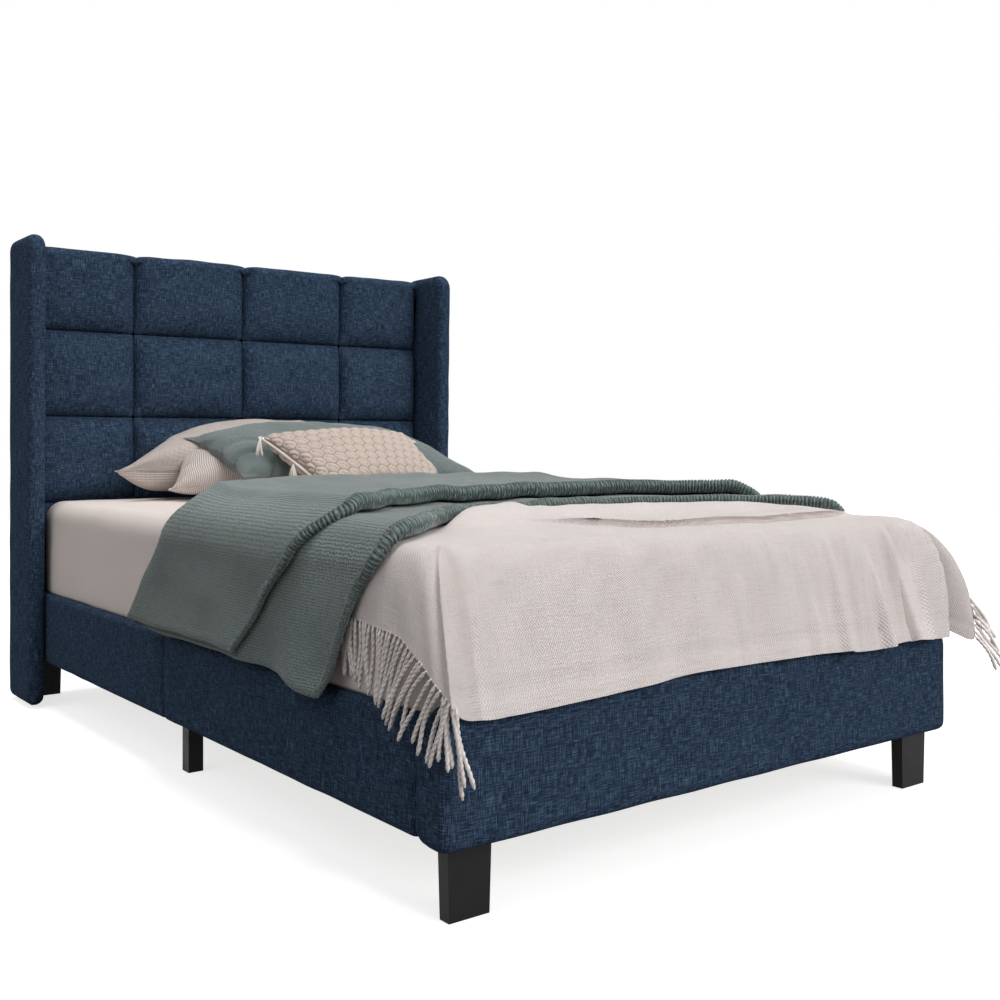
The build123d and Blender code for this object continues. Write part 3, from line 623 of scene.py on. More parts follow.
def swept(given, sides, girth, reshape=None, tilt=None):
    """A closed tube along the lines: reshape turns a unit ring's points into its profile, tilt twists it."""
    tree = given.tree
    curve = node(tree, "GeometryNodeMeshToCurve", {0: given["Geometry"]})[0]
    spacing = {"Curve": curve, "Length": given["Step"]}
    even = node(tree, "GeometryNodeResampleCurve", spacing, mode="LENGTH")[0]
    along = node(tree, "GeometryNodeSplineParameter")
    line = noted(even, "run", along["Length"])
    if tilt:
        line = node(tree, "GeometryNodeSetCurveTilt", {"Curve": line, "Tilt": tilt})[0]
    profile = node(tree, "GeometryNodeCurvePrimitiveCircle", {"Resolution": sides, "Radius": 1.0})[0]
    if reshape:
        moved = reshape(node(tree, "GeometryNodeInputPosition")[0])
        profile = node(tree, "GeometryNodeSetPosition", {"Geometry": profile, "Position": moved})[0]
    profile = noted(profile, "round", along["Factor"] * 0.02)
    tube = {"Curve": line, "Profile Curve": profile, "Scale": girth, "Fill Caps": True}
    return node(tree, "GeometryNodeCurveToMesh", tube)[0]


def build_strands(given):
    """Two plies twisted round each other along every line, ending in a rounded tip."""

    def two_plies(place):
        x, y, _ = split(place)
        return scaled(place, (x**2.0 - y**2.0) * 0.14 + 0.86)

    along = node(given.tree, "GeometryNodeSplineParameter")
    tip = mapped(along["Factor"], 0.95, 1.0, 1.0, 0.45)
    root = mapped(along["Factor"], 0.0, 0.08, 0.35, 1.0)
    tilt = along["Length"] * given["Twist"] * FULL_TURN + attribute(given.tree, "spin")
    return swept(given, 8, given["Thickness"] * 0.5 * tip * root, two_plies, tilt)


def build_roll(given):
    """A soft roll along a line, gathered in ribs across it where the line's rib value is high."""
    tube = swept(given, 14, attribute(given.tree, "girth"))
    slanted = attribute(given.tree, "round") * given["Slant"] + attribute(given.tree, "run")
    uneven = node(given.tree, "TexNoise", {"Scale": 60.0, "Detail": 0.0})[0]
    wave = abs(sine((uneven * 0.006 + slanted) * math.pi / given["Pitch"]))
    rib = attribute(given.tree, "rib")
    offset = scaled(node(given.tree, "GeometryNodeInputNormal")[0], rib * given["Depth"] * (wave**0.7 - 0.7))
    gathered = node(given.tree, "GeometryNodeSetPosition", {"Geometry": tube, "Offset": offset})[0]
    # Painted shade: this value darkens the cloth's colour in the furrows between the ribs.
    return noted(gathered, "hollow_shade", (1.0 - wave) ** 1.5 * rib)


strand_tree = geometry_tree("twisted_strands", build_strands, ("Thickness", "Twist", "Step"))
roll_tree = geometry_tree("gathered_roll", build_roll, ("Pitch", "Depth", "Slant", "Step"))


# Padded shapes
LOOP_STEPS = 8
RIM_STEPS = 7
PAD_VOXEL = 5.0


def rectangle(low, high, lower_radius, upper_radius):
    """The corners of a rectangular outline, each with its radius."""
    (left, bottom), (right, top) = low, high
    lower = [(left, bottom, lower_radius), (right, bottom, lower_radius)]
    return lower + [(right, top, upper_radius), (left, top, upper_radius)]


def rounded_loop(corners, inset):
    """Points round a convex outline of (across, up, radius) corners, moved in by inset."""
    spots = np.array([corner[:2] for corner in corners], float)
    points = []
    for i, (_, _, radius) in enumerate(corners):
        before = spots[i] - spots[i - 1]
        after = spots[(i + 1) % len(spots)] - spots[i]
        before, after = before / np.linalg.norm(before), after / np.linalg.norm(after)
        inwards = after - before
        half = math.acos(float(np.clip(-before @ after, -1, 1))) / 2
        centre = spots[i] + inwards / np.linalg.norm(inwards) * radius / math.sin(half)
        first = math.atan2(-before[0], before[1])
        turn = (math.atan2(-after[0], after[1]) - first) % FULL_TURN
        for angle in first + turn * np.linspace(0, 1, LOOP_STEPS + 1):
            points.append(centre + (radius - inset) * np.array([math.cos(angle), math.sin(angle)]))
    return np.array(points)


def slab_pad(name, corners, low, high, edges, axis):
    """A slab with a rounded outline, from low to high along axis, its rims rounded by edges."""
    rings = []
    for end, edge, way in ((low, edges[0], 1), (high, edges[1], -1)):
        for angle in np.linspace(0, math.pi / 2, RIM_STEPS + 1)[::way]:
            loop = rounded_loop(corners, edge * (1 - math.sin(angle)))
            level = np.full(len(loop), end + way * edge * (1 - math.cos(angle)))
            rings.append(np.insert(loop, axis, level, axis=1))
    return loft(name, np.array(rings))


def even_faces(obj, size, smoothing):
    """Rebuilds a shape with faces of one size, a little smoothed."""
    modify(obj, "REMESH", mode="VOXEL", voxel_size=size * MM)
    modify(obj, "SMOOTH", factor=0.5, iterations=smoothing)
    take_modifiers(obj)


def pad_out(obj, voxel, smoothing, bulge, length, seed):
    """Even faces over a slab, then slight unevenness as stuffing has."""
    even_faces(obj, voxel, smoothing)
    push_out(obj, bulge * ripple(points_of(obj), length, seed))


def thicken(obj, thickness, offset=0):
    """Gives a single surface the thickness of its cloth."""
    modify(obj, "SOLIDIFY", thickness=thickness * MM, offset=offset)
    return take_modifiers(obj)


# Headboard: its board's front, the seams' places, depths and shoulders, and the squares' crowns
BOARD_FACE = 991.5
COLUMN_SEAMS = (-340.0, 0.0, 340.0)
SEAM_DEPTH, CREST_SEAM_DEPTH = 40.0, 8.0
COLUMN_SHOULDER, ROW_SHOULDER = 62.0, 68.0
SEAM_ROUNDNESS = 1.9
SQUARE_CROWN = 9.0
COLUMN_CROWN, ROW_CROWN = 170.0, 120.0
# The top row's bend over the board and how far its cloth comes down behind
CREST_BEND = 22.0
CREST_HEM = 14.0
# Faces across a square, up a square, up the top row's face, round its bend and over its top
COLUMN_STEPS, ROW_STEPS, CREST_STEPS, BEND_STEPS, TOP_STEPS = 44, 36, 28, 9, 8


def crest_path(low, high):
    """The top row's way up its face, round the bend and back: y, z and the angle turned."""
    up = high[2] - low[2] - CREST_BEND
    rise = low[2] + crowded(0, 2 * up, 2 * CREST_STEPS)[: CREST_STEPS + 1]
    bend = np.linspace(0, 1, BEND_STEPS + 1)[1:] * math.pi / 2
    level = np.linspace(0, high[1] - low[1] - CREST_BEND, TOP_STEPS + 1)[1:]
    angle = np.concatenate([np.zeros_like(rise), bend, np.full_like(level, math.pi / 2)])
    ups = np.concatenate([rise, np.full(BEND_STEPS + TOP_STEPS, low[2] + up)])
    back = np.concatenate([np.zeros(len(rise) + BEND_STEPS), level])
    return low[1] + CREST_BEND * (1 - np.cos(angle)) + back, ups + CREST_BEND * np.sin(angle), angle


def dome(distance, width):
    """0 at a seam, rising to a level 1 at width from it."""
    return np.sin(np.clip(distance / width, 0, 1) * math.pi / 2)


def tufted_row(name, node_name, seed, wrapped=False, columns=COLUMN_SEAMS):
    """A row of padded squares, pulled in at the seams round each of them."""
    low, high = size_of(node_name)
    edges = [low[0], *columns, high[0]]
    spans = [crowded(start, end, COLUMN_STEPS)[:-1] for start, end in zip(edges, edges[1:])]
    xs = np.concatenate([*spans, [high[0]]])
    column_seam = np.min([np.abs(xs - edge) for edge in edges], axis=0)
    if wrapped:
        path_y, path_z, angle = crest_path(low, high)
        row_seam = path_z - low[2]
        rear = [(high[1], high[2] - CREST_HEM), (BOARD_FACE, high[2] - CREST_HEM), (BOARD_FACE, low[2])]
    else:
        path_z = crowded(low[2], high[2], ROW_STEPS)
        path_y, angle = np.full_like(path_z, low[1]), np.zeros_like(path_z)
        row_seam = np.minimum(path_z - low[2], high[2] - path_z)
        rear = [(BOARD_FACE, high[2]), (BOARD_FACE, low[2])]
    across, up = np.meshgrid(xs, path_z, indexing="ij")
    seam_x, seam_z = np.meshgrid(column_seam, row_seam, indexing="ij")
    depth = CREST_SEAM_DEPTH + (SEAM_DEPTH - CREST_SEAM_DEPTH) * np.cos(angle)
    full = swell(seam_x, COLUMN_SHOULDER, SEAM_ROUNDNESS) * swell(seam_z, ROW_SHOULDER, SEAM_ROUNDNESS)
    crown = SQUARE_CROWN * dome(seam_x, COLUMN_CROWN) * dome(seam_z, ROW_CROWN)
    uneven = 1.3 * ripple(np.stack([across, up], axis=-1).reshape(-1, 2), 110, seed).reshape(across.shape)
    creases = np.sin(np.arctan2(seam_z, seam_x + 1e-6) * 9 + seed)
    tension = 0.9 * near(np.hypot(seam_x, seam_z), 60) * creases
    sink = depth * (1 - full) - (crown - SQUARE_CROWN) * np.cos(angle) - (uneven + tension) * full
    front = np.stack([across, path_y + sink * np.cos(angle), up - sink * np.sin(angle)], axis=-1)
    closing = np.array([[(x, y, z) for y, z in rear] for x in xs])
    return loft(name, np.concatenate([front, closing], axis=1))


def make_headboard():
    for row in range(1, 5):
        pad = f"headboard_tuft_row_{row}"
        cover = tufted_row(f"headboard_squares_{row}", pad, seed=row, wrapped=row == 1)
        dress(cover, "navy_linen", [pad])
    lower = tufted_row("headboard_lower_cover", "headboard_lower_pad", seed=9, columns=())
    dress(lower, "navy_linen", ["headboard_lower_pad"])


# How far a wing's front edge leans back at its foot, and how far it stands past its board behind and above
WING_LEAN = 21.5
WING_PAST = (8.0, 3.0)
WING_EDGE = 22.0


def make_wings():
    for side in ("left", "right"):
        pad = f"wing_pad_{side}"
        low, high = size_of(pad)
        back, top = high[1:] + WING_PAST
        corners = [(low[1] + WING_LEAN, low[2], 24), (back, low[2], 24), (back, top, 34), (low[1], top, 48)]
        wing = slab_pad(f"wing_cover_{side}", corners, low[0], high[0], (WING_EDGE, WING_EDGE), axis=0)
        pad_out(wing, PAD_VOXEL, smoothing=4, bulge=0.9, length=120, seed=20 + len(side))
        dress(wing, "navy_linen", [pad])


# A rail cover's radii: its outline, and its inner and outer rims
RAIL_RADIUS = 9.0
RAIL_RIMS = (3.0, 12.0)


def make_rails():
    for side, way in (("left", -1), ("right", 1)):
        for end in ("foot", "head"):
            pad = f"rail_pad_{side}_{end}"
            low, high = size_of(pad)
            outline = rectangle(low[1:], high[1:], RAIL_RADIUS, RAIL_RADIUS)
            reach = (low[0], high[0] - 1) if way < 0 else (low[0] + 1, high[0])
            rail = slab_pad(f"rail_cover_{side}_{end}", outline, *reach, RAIL_RIMS[::way], axis=0)
            pad_out(rail, PAD_VOXEL, smoothing=2, bulge=0.7, length=140, seed=30 + len(pad))
            dress(rail, "navy_linen", [pad])


# How deep the foot cover's front is, and how thick the two ends are that return along the rails
FOOT_DEPTH = 49.0
RETURN_THICKNESS = 11.5


def make_foot():
    low, high = size_of("foot_pad")
    outline = rectangle(low[[0, 2]], high[[0, 2]], 16, 34)
    parts = [slab_pad("front", outline, low[1], low[1] + FOOT_DEPTH, (15, 4), axis=1)]
    start, top = low[1] + 4, high[2] - 20
    corners = [(start, low[2], 14), (high[1], low[2] + 4, 26), (high[1], top, 8), (start, top, 14)]
    for way in (-1, 1):
        reach = sorted((way * high[0], way * (high[0] - RETURN_THICKNESS)))
        parts.append(slab_pad("return", corners, *reach, (5, 5), axis=0))
    foot = join("foot_cover", parts)
    pad_out(foot, PAD_VOXEL, smoothing=3, bulge=0.8, length=160, seed=41)
    dress(foot, "navy_linen", ["foot_pad"])


def make_back_cloth():
    """The dust cloth behind the headboard sags a little between its staples."""
    low, high = size_of("headboard_back_cloth")
    xs = np.linspace(low[0] + 1, high[0] - 1, 120)
    zs = np.linspace(low[2] + 1, high[2] - 1, 110)
    x, z = np.meshgrid(xs, zs, indexing="ij")
    rim = np.minimum.reduce([x - xs[0], xs[-1] - x, z - zs[0], zs[-1] - z])
    uneven = ripple(np.stack([x, z], axis=-1).reshape(-1, 2), 240, 51).reshape(x.shape)
    sag = swell(rim, 60, 1.6) * (0.9 + 0.5 * uneven)
    pucker = 0.5 * np.exp(-rim / 25) * np.sin((x + z) / 13)
    points = np.stack([x, high[1] + 0.2 + sag * 0.6 + pucker, z], axis=-1).reshape(-1, 3)
    cloth = raw_object("headboard_dust_cloth", points, grid_faces(*x.shape))
    thicken(face_outwards(cloth), 0.6)
    dress(cloth, "black_dust_cloth", ["headboard_back_cloth"])
    (high[0] - low[0]) * MM
    (high[2] - low[2]) * MM


# Bedding: the sheet's top and hem, the headboard's face, and the foot rail's front, which tables measure from
SHEET_TOP = 546.5
SHEET_HEM = 299.0
HEADBOARD_FACE = 938.0
FOOT_FACE = -1009.5


def make_mattress():
    low, high = size_of("mattress")
    outline = rectangle(low[:2] + 3, high[:2] - 3, 60, 60)
    mattress = slab_pad("mattress_core", outline, low[2], high[2] - 3, (9, 40), axis=2)
    pad_out(mattress, 14.0, smoothing=1, bulge=0.6, length=200, seed=60)
    dress(mattress, "mattress_ticking", ["mattress"])


def make_fitted_sheet():
    """A sheet pulled over the mattress, open below its hem at the bottom rim."""
    low, high = size_of("fitted_sheet")
    outline = rectangle(low[:2], high[:2], 62, 62)
    sheet = slab_pad("fitted_cover", outline, SHEET_HEM, high[2] - 1.0, (4, 42), axis=2)
    even_faces(sheet, 8, smoothing=2)
    points = points_of(sheet)
    side = smooth_step(high[2] - points[:, 2], 10, 60)
    side = side * (0.75 + 0.25 * smooth_step(points[:, 2], SHEET_HEM, SHEET_HEM + 40))
    push_out(sheet, side * (2.5 + 2.0 * ripple(points, 260, 61)) + 0.5 * ripple(points, 90, 62))

    def open_below(shape):
        under = [face for face in shape.faces if face.calc_center_median().z < (SHEET_HEM + 1.5) * MM]
        bmesh.ops.delete(shape, geom=under, context="FACES")

    thicken(edited(sheet, open_below), 0.9)
    dress(sheet, "beige_cotton", ["fitted_sheet"])
    drop = high[2] - SHEET_HEM
    (high[0] - low[0] + 2 * drop) * MM
    (high[1] - low[1] + 2 * drop) * MM


# The throw: flat places across from its middle and from the foot rail's front, and where it bends over
THROW = {"left": -717.0, "right": 756.0, "foot": -172.5, "head": 640.5}
THROW_CELL = 6.0
THROW_HEM = 18.0
TURN = {"across": 570.0, "foot": 95.0, "level": 548.5}
# Places round the bed: up to 0 down the left side, a span for the corner, the front, and so on round
CORNER_SPAN = 100.0
FRONT_START = CORNER_SPAN
FRONT_END = FRONT_START + 2 * TURN["across"]
# Each row: the place round the bed, two points that guide the cloth's fall, and its hem
LEFT_FALL = (
    (-545, (-630, 640, 548.5), (-626, 640, 505), (-626, 640, 428)),
    (-169, (-630, 264, 548.5), (-626, 264, 505), (-629, 264, 423)),
    (-85, (-631, 180, 548.5), (-628, 180, 504), (-636, 182, 420)),
    (-25, (-632, 118, 548.5), (-632, 118, 500), (-643, 112, 416)),
    (0, (-631, 92, 548.5), (-634, 90, 497), (-645, 88, 411)),
    (27.8, (-626, 74, 548.5), (-636, 58, 487), (-648, 32, 384)),
    (50, (-616, 64, 548.5), (-632, 36, 480), (-647, -6, 357)),
    (60, (-608, 64, 548.5), (-624, 26, 474), (-643, -20, 345)),
    (68, (-606, 60, 549), (-628, 10, 468), (-643, -37, 333)),
)
# Across, the hem's height, how far out the fall bulges and how far out its hem hangs
FRONT_HEM = (
    (-520, 301, 39, -11), (-400, 305, 33, -14), (-237, 311, 37, -11), (-130, 318, 33, -10),
    (-30, 318, 36, -12), (95, 316, 34, -10), (222, 314, 37, -12), (377, 305, 34, -13),
    (473, 310, 36, -10),
)
FRONT_FALL = (
    LEFT_FALL[-1],
    (76, (-598, 58, 548.5), (-604, 30, 472), (-622, -22, 318)),
    (84, (-589, 52, 548.5), (-592, 36, 474), (-604, -15, 308)),
    (100, (-570, 32, 548.5), (-571, 32, 490), (-573, -14, 303)),
    *(
        (FRONT_START + TURN["across"] + x, (x, 30, 548.5), (x, bulge, 495), (x, out, hem))
        for x, hem, bulge, out in FRONT_HEM
    ),
    (1240, (570, 30, 548.5), (573, 30, 495), (572, -13, 306)),
    (1247.8, (590, 34, 549), (612, 14, 500), (598, -14, 306)),
    (1252.2, (604, 40, 551), (645, 0, 505), (620, -13, 307)),
    (1257.8, (594, 64, 551), (606, 66, 490), (612, 40, 326)),
    (1267.8, (594, 60, 550), (640, 34, 470), (642, 8, 316)),
    (1278.7, (597, 54, 549), (680, 2, 470), (680, -30, 297)),
    (1287.8, (600, 50, 548), (690, 4, 492), (698, -20, 336)),
    (1296.7, (602, 52, 547), (692, 16, 500), (706, -4, 378)),
    (1308.9, (610, 62, 547), (672, 40, 495), (688, 40, 392)),
    (1323.3, (622, 78, 548), (648, 74, 495), (664, 82, 392)),
    (1340, (631, 92, 548.5), (636, 95, 498), (650, 100, 388)),
    (1405, (631, 160, 548.5), (630, 160, 500), (640, 162, 386)),
    (1509, (630, 264, 548.5), (626, 264, 500), (630, 264, 385)),
    (1885, (630, 640, 548.5), (626, 640, 500), (628, 640, 388)),
)


def fall_point(place, fall, turn):
    """Where the hanging cloth is: place round the bed, fall from 0 at its bend to 1 at its hem."""
    guides = np.empty((9, len(place)))
    on_left = place <= LEFT_FALL[-1][0]
    for rows, part in ((LEFT_FALL, on_left), (FRONT_FALL, ~on_left)):
        stations, *columns = np.array([np.hstack(row) for row in rows], float).T
        for guide, values in zip(guides, columns):
            guide[part] = through(np.stack([stations, values], axis=-1), place[part])
    upper, lower, hem = guides.reshape(3, 3, -1).transpose(0, 2, 1)
    t = fall[:, None]
    return turn * (1 - t) ** 3 + upper * 3 * t * (1 - t) ** 2 + lower * 3 * t**2 * (1 - t) + hem * t**3


def drape(flat):
    """The flat throw's points where they come to lie and hang on the bed."""
    u, v = flat.T
    middle, foot = TURN["across"], TURN["foot"]
    over = np.maximum(foot - v, 0)
    side = np.maximum(np.abs(u) - middle, 0)
    side_drop = np.where(u < 0, -THROW["left"], THROW["right"]) - middle
    fall = np.maximum(side / side_drop, over / (foot - THROW["foot"]))
    level = np.full_like(u, TURN["level"])
    turn = np.stack([np.clip(u, -middle, middle), np.maximum(v, foot), level], axis=-1)
    angle = np.arctan2(over, side) / (math.pi / 2) * CORNER_SPAN
    left = np.where(over > 0, angle, foot - v)
    right = FRONT_END + CORNER_SPAN - np.where(over > 0, angle, foot - v)
    place = np.where(side == 0, FRONT_START + middle + u, np.where(u < 0, left, right))
    return np.where((fall > 0)[:, None], fall_point(place, fall, turn), turn), fall


# Where the top of the throw folds over itself: across, and from the foot rail's front
OVERLAP = (
    (-225, 395), (-185, 330), (-120, 245), (-60, 188), (20, 156), (140, 146), (330, 155),
    (519, 168), (600, 170),
)


def heap(flat):
    """How far up the throw is pushed before the duvet, and how far to the foot where it folds over."""
    u, v = flat.T
    crest = through(LOWER_EDGE, np.clip(u, -600, 600)) - 34
    rim = smooth_step(570 - np.abs(u), 0, 60)
    pushed = (24 + 12 * near(u + 260, 120)) * near(v - crest, np.where(v < crest, 62.0, 24.0))
    pushed *= between(u, -470, -330, 440, 590) * rim
    place = np.clip(u, OVERLAP[0][0], OVERLAP[-1][0])
    lean = (through(OVERLAP, place + 5) - through(OVERLAP, place - 5)) / 10
    past = (v - through(OVERLAP, place)) / np.hypot(1, lean)
    kept = between(u, -235, -130, 430, 580) * rim
    pushed += (12 * between(past, -5, 5, 30, 170) - 2 * near(past + 11, 9)) * kept
    slow = np.clip(2.2 + 2.2 * ripple(flat, 210, 81), 0, None) * between(v, 95, 150, 470, 560) * rim
    return pushed + slow, 25 * near(past - 10, 8) * kept


def grow_strands(name, lines, draw, slot, shade, **sizes):
    """Twisted strands along lines, each with its own turn."""
    spin = [np.full(len(line), draw.uniform(0, FULL_TURN)) for line in lines]
    strands = grow(guide_lines(name, lines, spin=spin), strand_tree, shade, **sizes)
    return dress(strands, slot, shade=shade)


def grow_roll(name, line, girth, rib, slot, shade, **sizes):
    """A soft roll along a line, with its girth and how ribbed it is at each point."""
    roll = grow(guide_lines(name, [line], girth=[girth], rib=[rib]), roll_tree, shade, **sizes)
    return dress(roll, slot, shade=shade)


def hang_strands(hem, falls):
    """Guide lines for twisted strands: from hem points, each towards its own fall."""
    lines = []
    draw = np.random.default_rng(83)
    q = np.linspace(0, 1, 12)[:, None]
    for base, fall in zip(hem, falls):
        fall = fall * draw.uniform(0.86, 1.1) + draw.uniform(-8, 8, 3) * [0.2, 1.0, 0]
        first = fall * [0.2, 0.7, 0.42]
        bend = draw.uniform(-9, 9, 3) * [0.4, 1.0, 0.1]
        lines.append(base + 2 * q * (1 - q) * first + q**2 * fall + np.sin(q * math.pi * 1.6) * bend * q)
    return lines


def spaced(points, gap):
    """Points at nearly even gaps along a line of points."""
    run = np.concatenate([[0], np.cumsum(np.linalg.norm(np.diff(points, axis=0), axis=1))])
    at = np.arange(gap / 2, run[-1], gap)
    at = at + np.random.default_rng(86).uniform(-0.28, 0.28, len(at)) * gap
    return np.stack([np.interp(at, run, values) for values in points.T], axis=-1)


# The left strands' fall, by how far their hem point is from the foot rail's front
STRAND_FALL = (
    (-40, -6, 30, -104), (-12, -8, 52, -100), (0, -9, 62, -100), (30, -9, 70, -104),
    (60, -8, 56, -108), (97, -6, 34, -112), (150, -5, 8, -110), (264, -4, -4, -100),
    (340, -2, 0, -98),
)
STRAND_GAP = 12.5
# The fringe ends here, under the duvet
FRINGE_END = 300.0
# The left corner's tail: the corner, its strands' first and last start from there, and their falls
TAIL_CORNER = (-640.0, -33.0, 336.0)
TAIL_STARTS = ((-2.0, 18.0, 13.0), (6.0, -1.0, -3.0))
CORNER_TAIL = ((-2, 4, -102), (3, 0, -110), (7, 6, -98), (20, -4, -134), (25, 2, -140), (31, -3, -134))


def make_fringe():
    """Twisted strands along the throw's two ends, and the tail where the left corner hangs."""
    lines = []
    for edge in (THROW["left"], THROW["right"]):
        v = np.linspace(THROW["foot"] + 1, FRINGE_END, 200)
        hem = spaced(drape(np.stack([np.full_like(v, edge), v], axis=-1))[0], STRAND_GAP)
        if edge < 0:
            places, *columns = np.array(STRAND_FALL, float).T
            falls = np.stack([np.interp(hem[:, 1], places, values) for values in columns], axis=-1)
        else:
            out = smooth_step(-hem[:, 1], -60, 20)
            falls = np.stack([2 + 8 * out, -2 - 50 * out, -100 + 30 * out], axis=-1)
        lines += hang_strands(hem + [0, 0, 2], falls)
    starts = TAIL_CORNER + np.linspace(*TAIL_STARTS, len(CORNER_TAIL))
    lines += hang_strands(starts, np.array(CORNER_TAIL, float))
    lines = [line + [0, FOOT_FACE, 0] for line in lines]
    sizes = {"Thickness": 0.0078, "Twist": 48.0, "Step": 0.0024}
    # The strands keep the throw's slot but take a lighter copy of its colour, painted light for the shade
    # they hang in.
    return grow_strands("throw_fringe", lines, np.random.default_rng(84), "oat_throw", "oat_twist_lit", **sizes)


def make_throw():
    us, vs = (
        np.linspace(THROW[start], THROW[end], int((THROW[end] - THROW[start]) / THROW_CELL) + 1)
        for start, end in (("left", "right"), ("foot", "head"))
    )
    flat = np.stack(np.meshgrid(us, vs, indexing="ij"), axis=-1).reshape(-1, 2)
    u, v = flat.T
    points, fall = drape(flat)
    up, over = heap(flat)
    points += np.stack([np.zeros_like(up), -over, up], axis=-1)
    throw = raw_object("throw", points + [0, FOOT_FACE, 0], grid_faces(len(us), len(vs)))
    # The grid's normals point into the bed here, so a pleat that stands out is negative
    pleats = -21 * np.clip(ripple(flat * [1, 0.14], 74, 87) - 0.04, 0, None) * smooth_step(u, -200, 160)
    folds = (ripple(flat * [1, 0.22], 120, 82) * 5.5 + pleats) * smooth_step(fall, 0.06, 0.7)
    rumple = ripple(flat, 75, 85) * 0.9
    stitched = 1.4 * near(np.minimum(v - THROW["foot"], THROW["head"] - v) - THROW_HEM, 3)
    push_out(throw, folds * (np.abs(u) < 560) + rumple + stitched)
    lay_uv(throw, flat)
    face_outwards(thicken(throw, 1.7, offset=1))
    throw.data.set_sharp_from_angle(angle=math.radians(50))
    fringe = make_fringe()
    dress(throw, "oat_throw", ["throw_blanket"])
    (THROW["right"] - THROW["left"]) * MM
    (THROW["head"] - THROW["foot"]) * MM


# Duvet: places along the bed's arch from its middle, and from the foot rail's front towards the head
ARCH = {"half": 582.0, "bend": 46.0, "base": 552.0, "flare": 15.0}
FOLD_EDGE = (
    (-845, 1132), (-756, 1058), (-655, 977), (-610, 942), (-560, 965), (-430, 1085), (-300, 1190),
    (-155, 1285), (58, 1330), (283, 1310), (480, 1280), (610, 1262), (700, 1275), (845, 1310),
)
UPPER_EDGE = (
    (-845, 592), (-724, 487), (-657, 413), (-600, 350), (-540, 375), (-440, 452), (-317, 535),
    (-21, 592), (222, 600), (450, 570), (600, 478), (700, 500), (845, 565),
)
LOWER_EDGE = (
    (-869, 322), (-825, 296), (-723, 248), (-672, 218), (-605, 162), (-545, 190), (-400, 345),
    (-230, 455), (20, 510), (220, 515), (430, 400), (600, 248), (700, 262), (869, 335),
)
LOWER_LAYER, UPPER_LAYER, LAYER_GAP = 27.0, 30.0, 1.5
EDGE_ROLL = 10.0
EDGE_LIFT = (7.0, 9.0)
FOLD_LOFT = 14.0
FOLD_BLUNTNESS = 0.8
SIDE_THINNING = 0.58
DUVET_REACH = 849.0
END_BAND = 30.0
# A section's points: under the duvet, over its top, under that layer, over the lower one, and round an edge
FLOOR_POINTS, TOP_POINTS, ROOF_POINTS, DECK_POINTS, EDGE_POINTS = 55, 54, 23, 65, 15
UPPER_START = FLOOR_POINTS + EDGE_POINTS + TOP_POINTS
LOWER_START = UPPER_START + EDGE_POINTS + ROOF_POINTS + DECK_POINTS
ROLL_STARTS = {"duvet_upper_roll": UPPER_START, "duvet_lower_roll": LOWER_START}


def arch(along, lift):
    """Across and up, at a place along the bed's arch and lifted off it."""
    half, bend = ARCH["half"], ARCH["bend"]
    reach = np.abs(along)
    angle = np.clip((reach - half) / bend, 0, math.pi / 2)
    drop = np.maximum(reach - half - bend * math.pi / 2, 0)
    across = np.minimum(reach, half) + (bend + lift) * np.sin(angle) + ARCH["flare"] * (drop / 200) ** 1.4
    return np.sign(along) * across, ARCH["base"] - bend + (bend + lift) * np.cos(angle) - drop


def duvet_loop(fold, upper, lower):
    """Round the folded duvet where it is cut across: from the foot, height, and layer from 0 to 1."""
    top = LOWER_LAYER + LAYER_GAP + UPPER_LAYER
    round_fold = (top + FOLD_LOFT) / 2
    fold_at = fold - round_fold * FOLD_BLUNTNESS
    low_lift, high_lift = EDGE_LIFT
    edge_top = LOWER_LAYER + LAYER_GAP + 2 * EDGE_ROLL + high_lift
    low_start, high_start = lower + EDGE_ROLL, upper + EDGE_ROLL
    turn = np.linspace(-math.pi / 2, math.pi / 2, EDGE_POINTS)
    back = turn[::-1]
    edge = EDGE_ROLL * (1 - np.cos(back))
    blunt = fold_at + round_fold * FOLD_BLUNTNESS * np.cos(turn)
    floor_run = np.linspace(low_start, fold_at, FLOOR_POINTS + 1)[:-1]
    top_run = np.linspace(fold_at, high_start, TOP_POINTS + 2)[1:-1]
    roof_run = np.linspace(high_start, fold_at - 12, ROOF_POINTS + 1)[1:]
    deck_run = np.linspace(fold_at - 14, low_start, DECK_POINTS + 1)[:-1]
    lofted = top + FOLD_LOFT * near(fold_at - top_run, 70) - (top - edge_top) * near(top_run - high_start, 34)
    roof = LOWER_LAYER + LAYER_GAP + high_lift * near(roof_run - high_start, 30)
    deck = LOWER_LAYER - (LOWER_LAYER - 2 * EDGE_ROLL - low_lift) * near(deck_run - low_start, 34)
    parts = [
        (floor_run, low_lift * near(floor_run - low_start, 30), 0),
        (blunt, round_fold * (1 + np.sin(turn)), turn / math.pi + 0.5),
        (top_run, lofted, 1),
        (upper + edge, edge_top - EDGE_ROLL + EDGE_ROLL * np.sin(back), 1),
        (roof_run, roof, 1),
        (deck_run, deck, 0),
        (lower + edge, low_lift + EDGE_ROLL * (1 + np.sin(back)), 0),
    ]
    return [np.concatenate([np.broadcast_to(part[i], part[0].shape) for part in parts]) for i in range(3)]


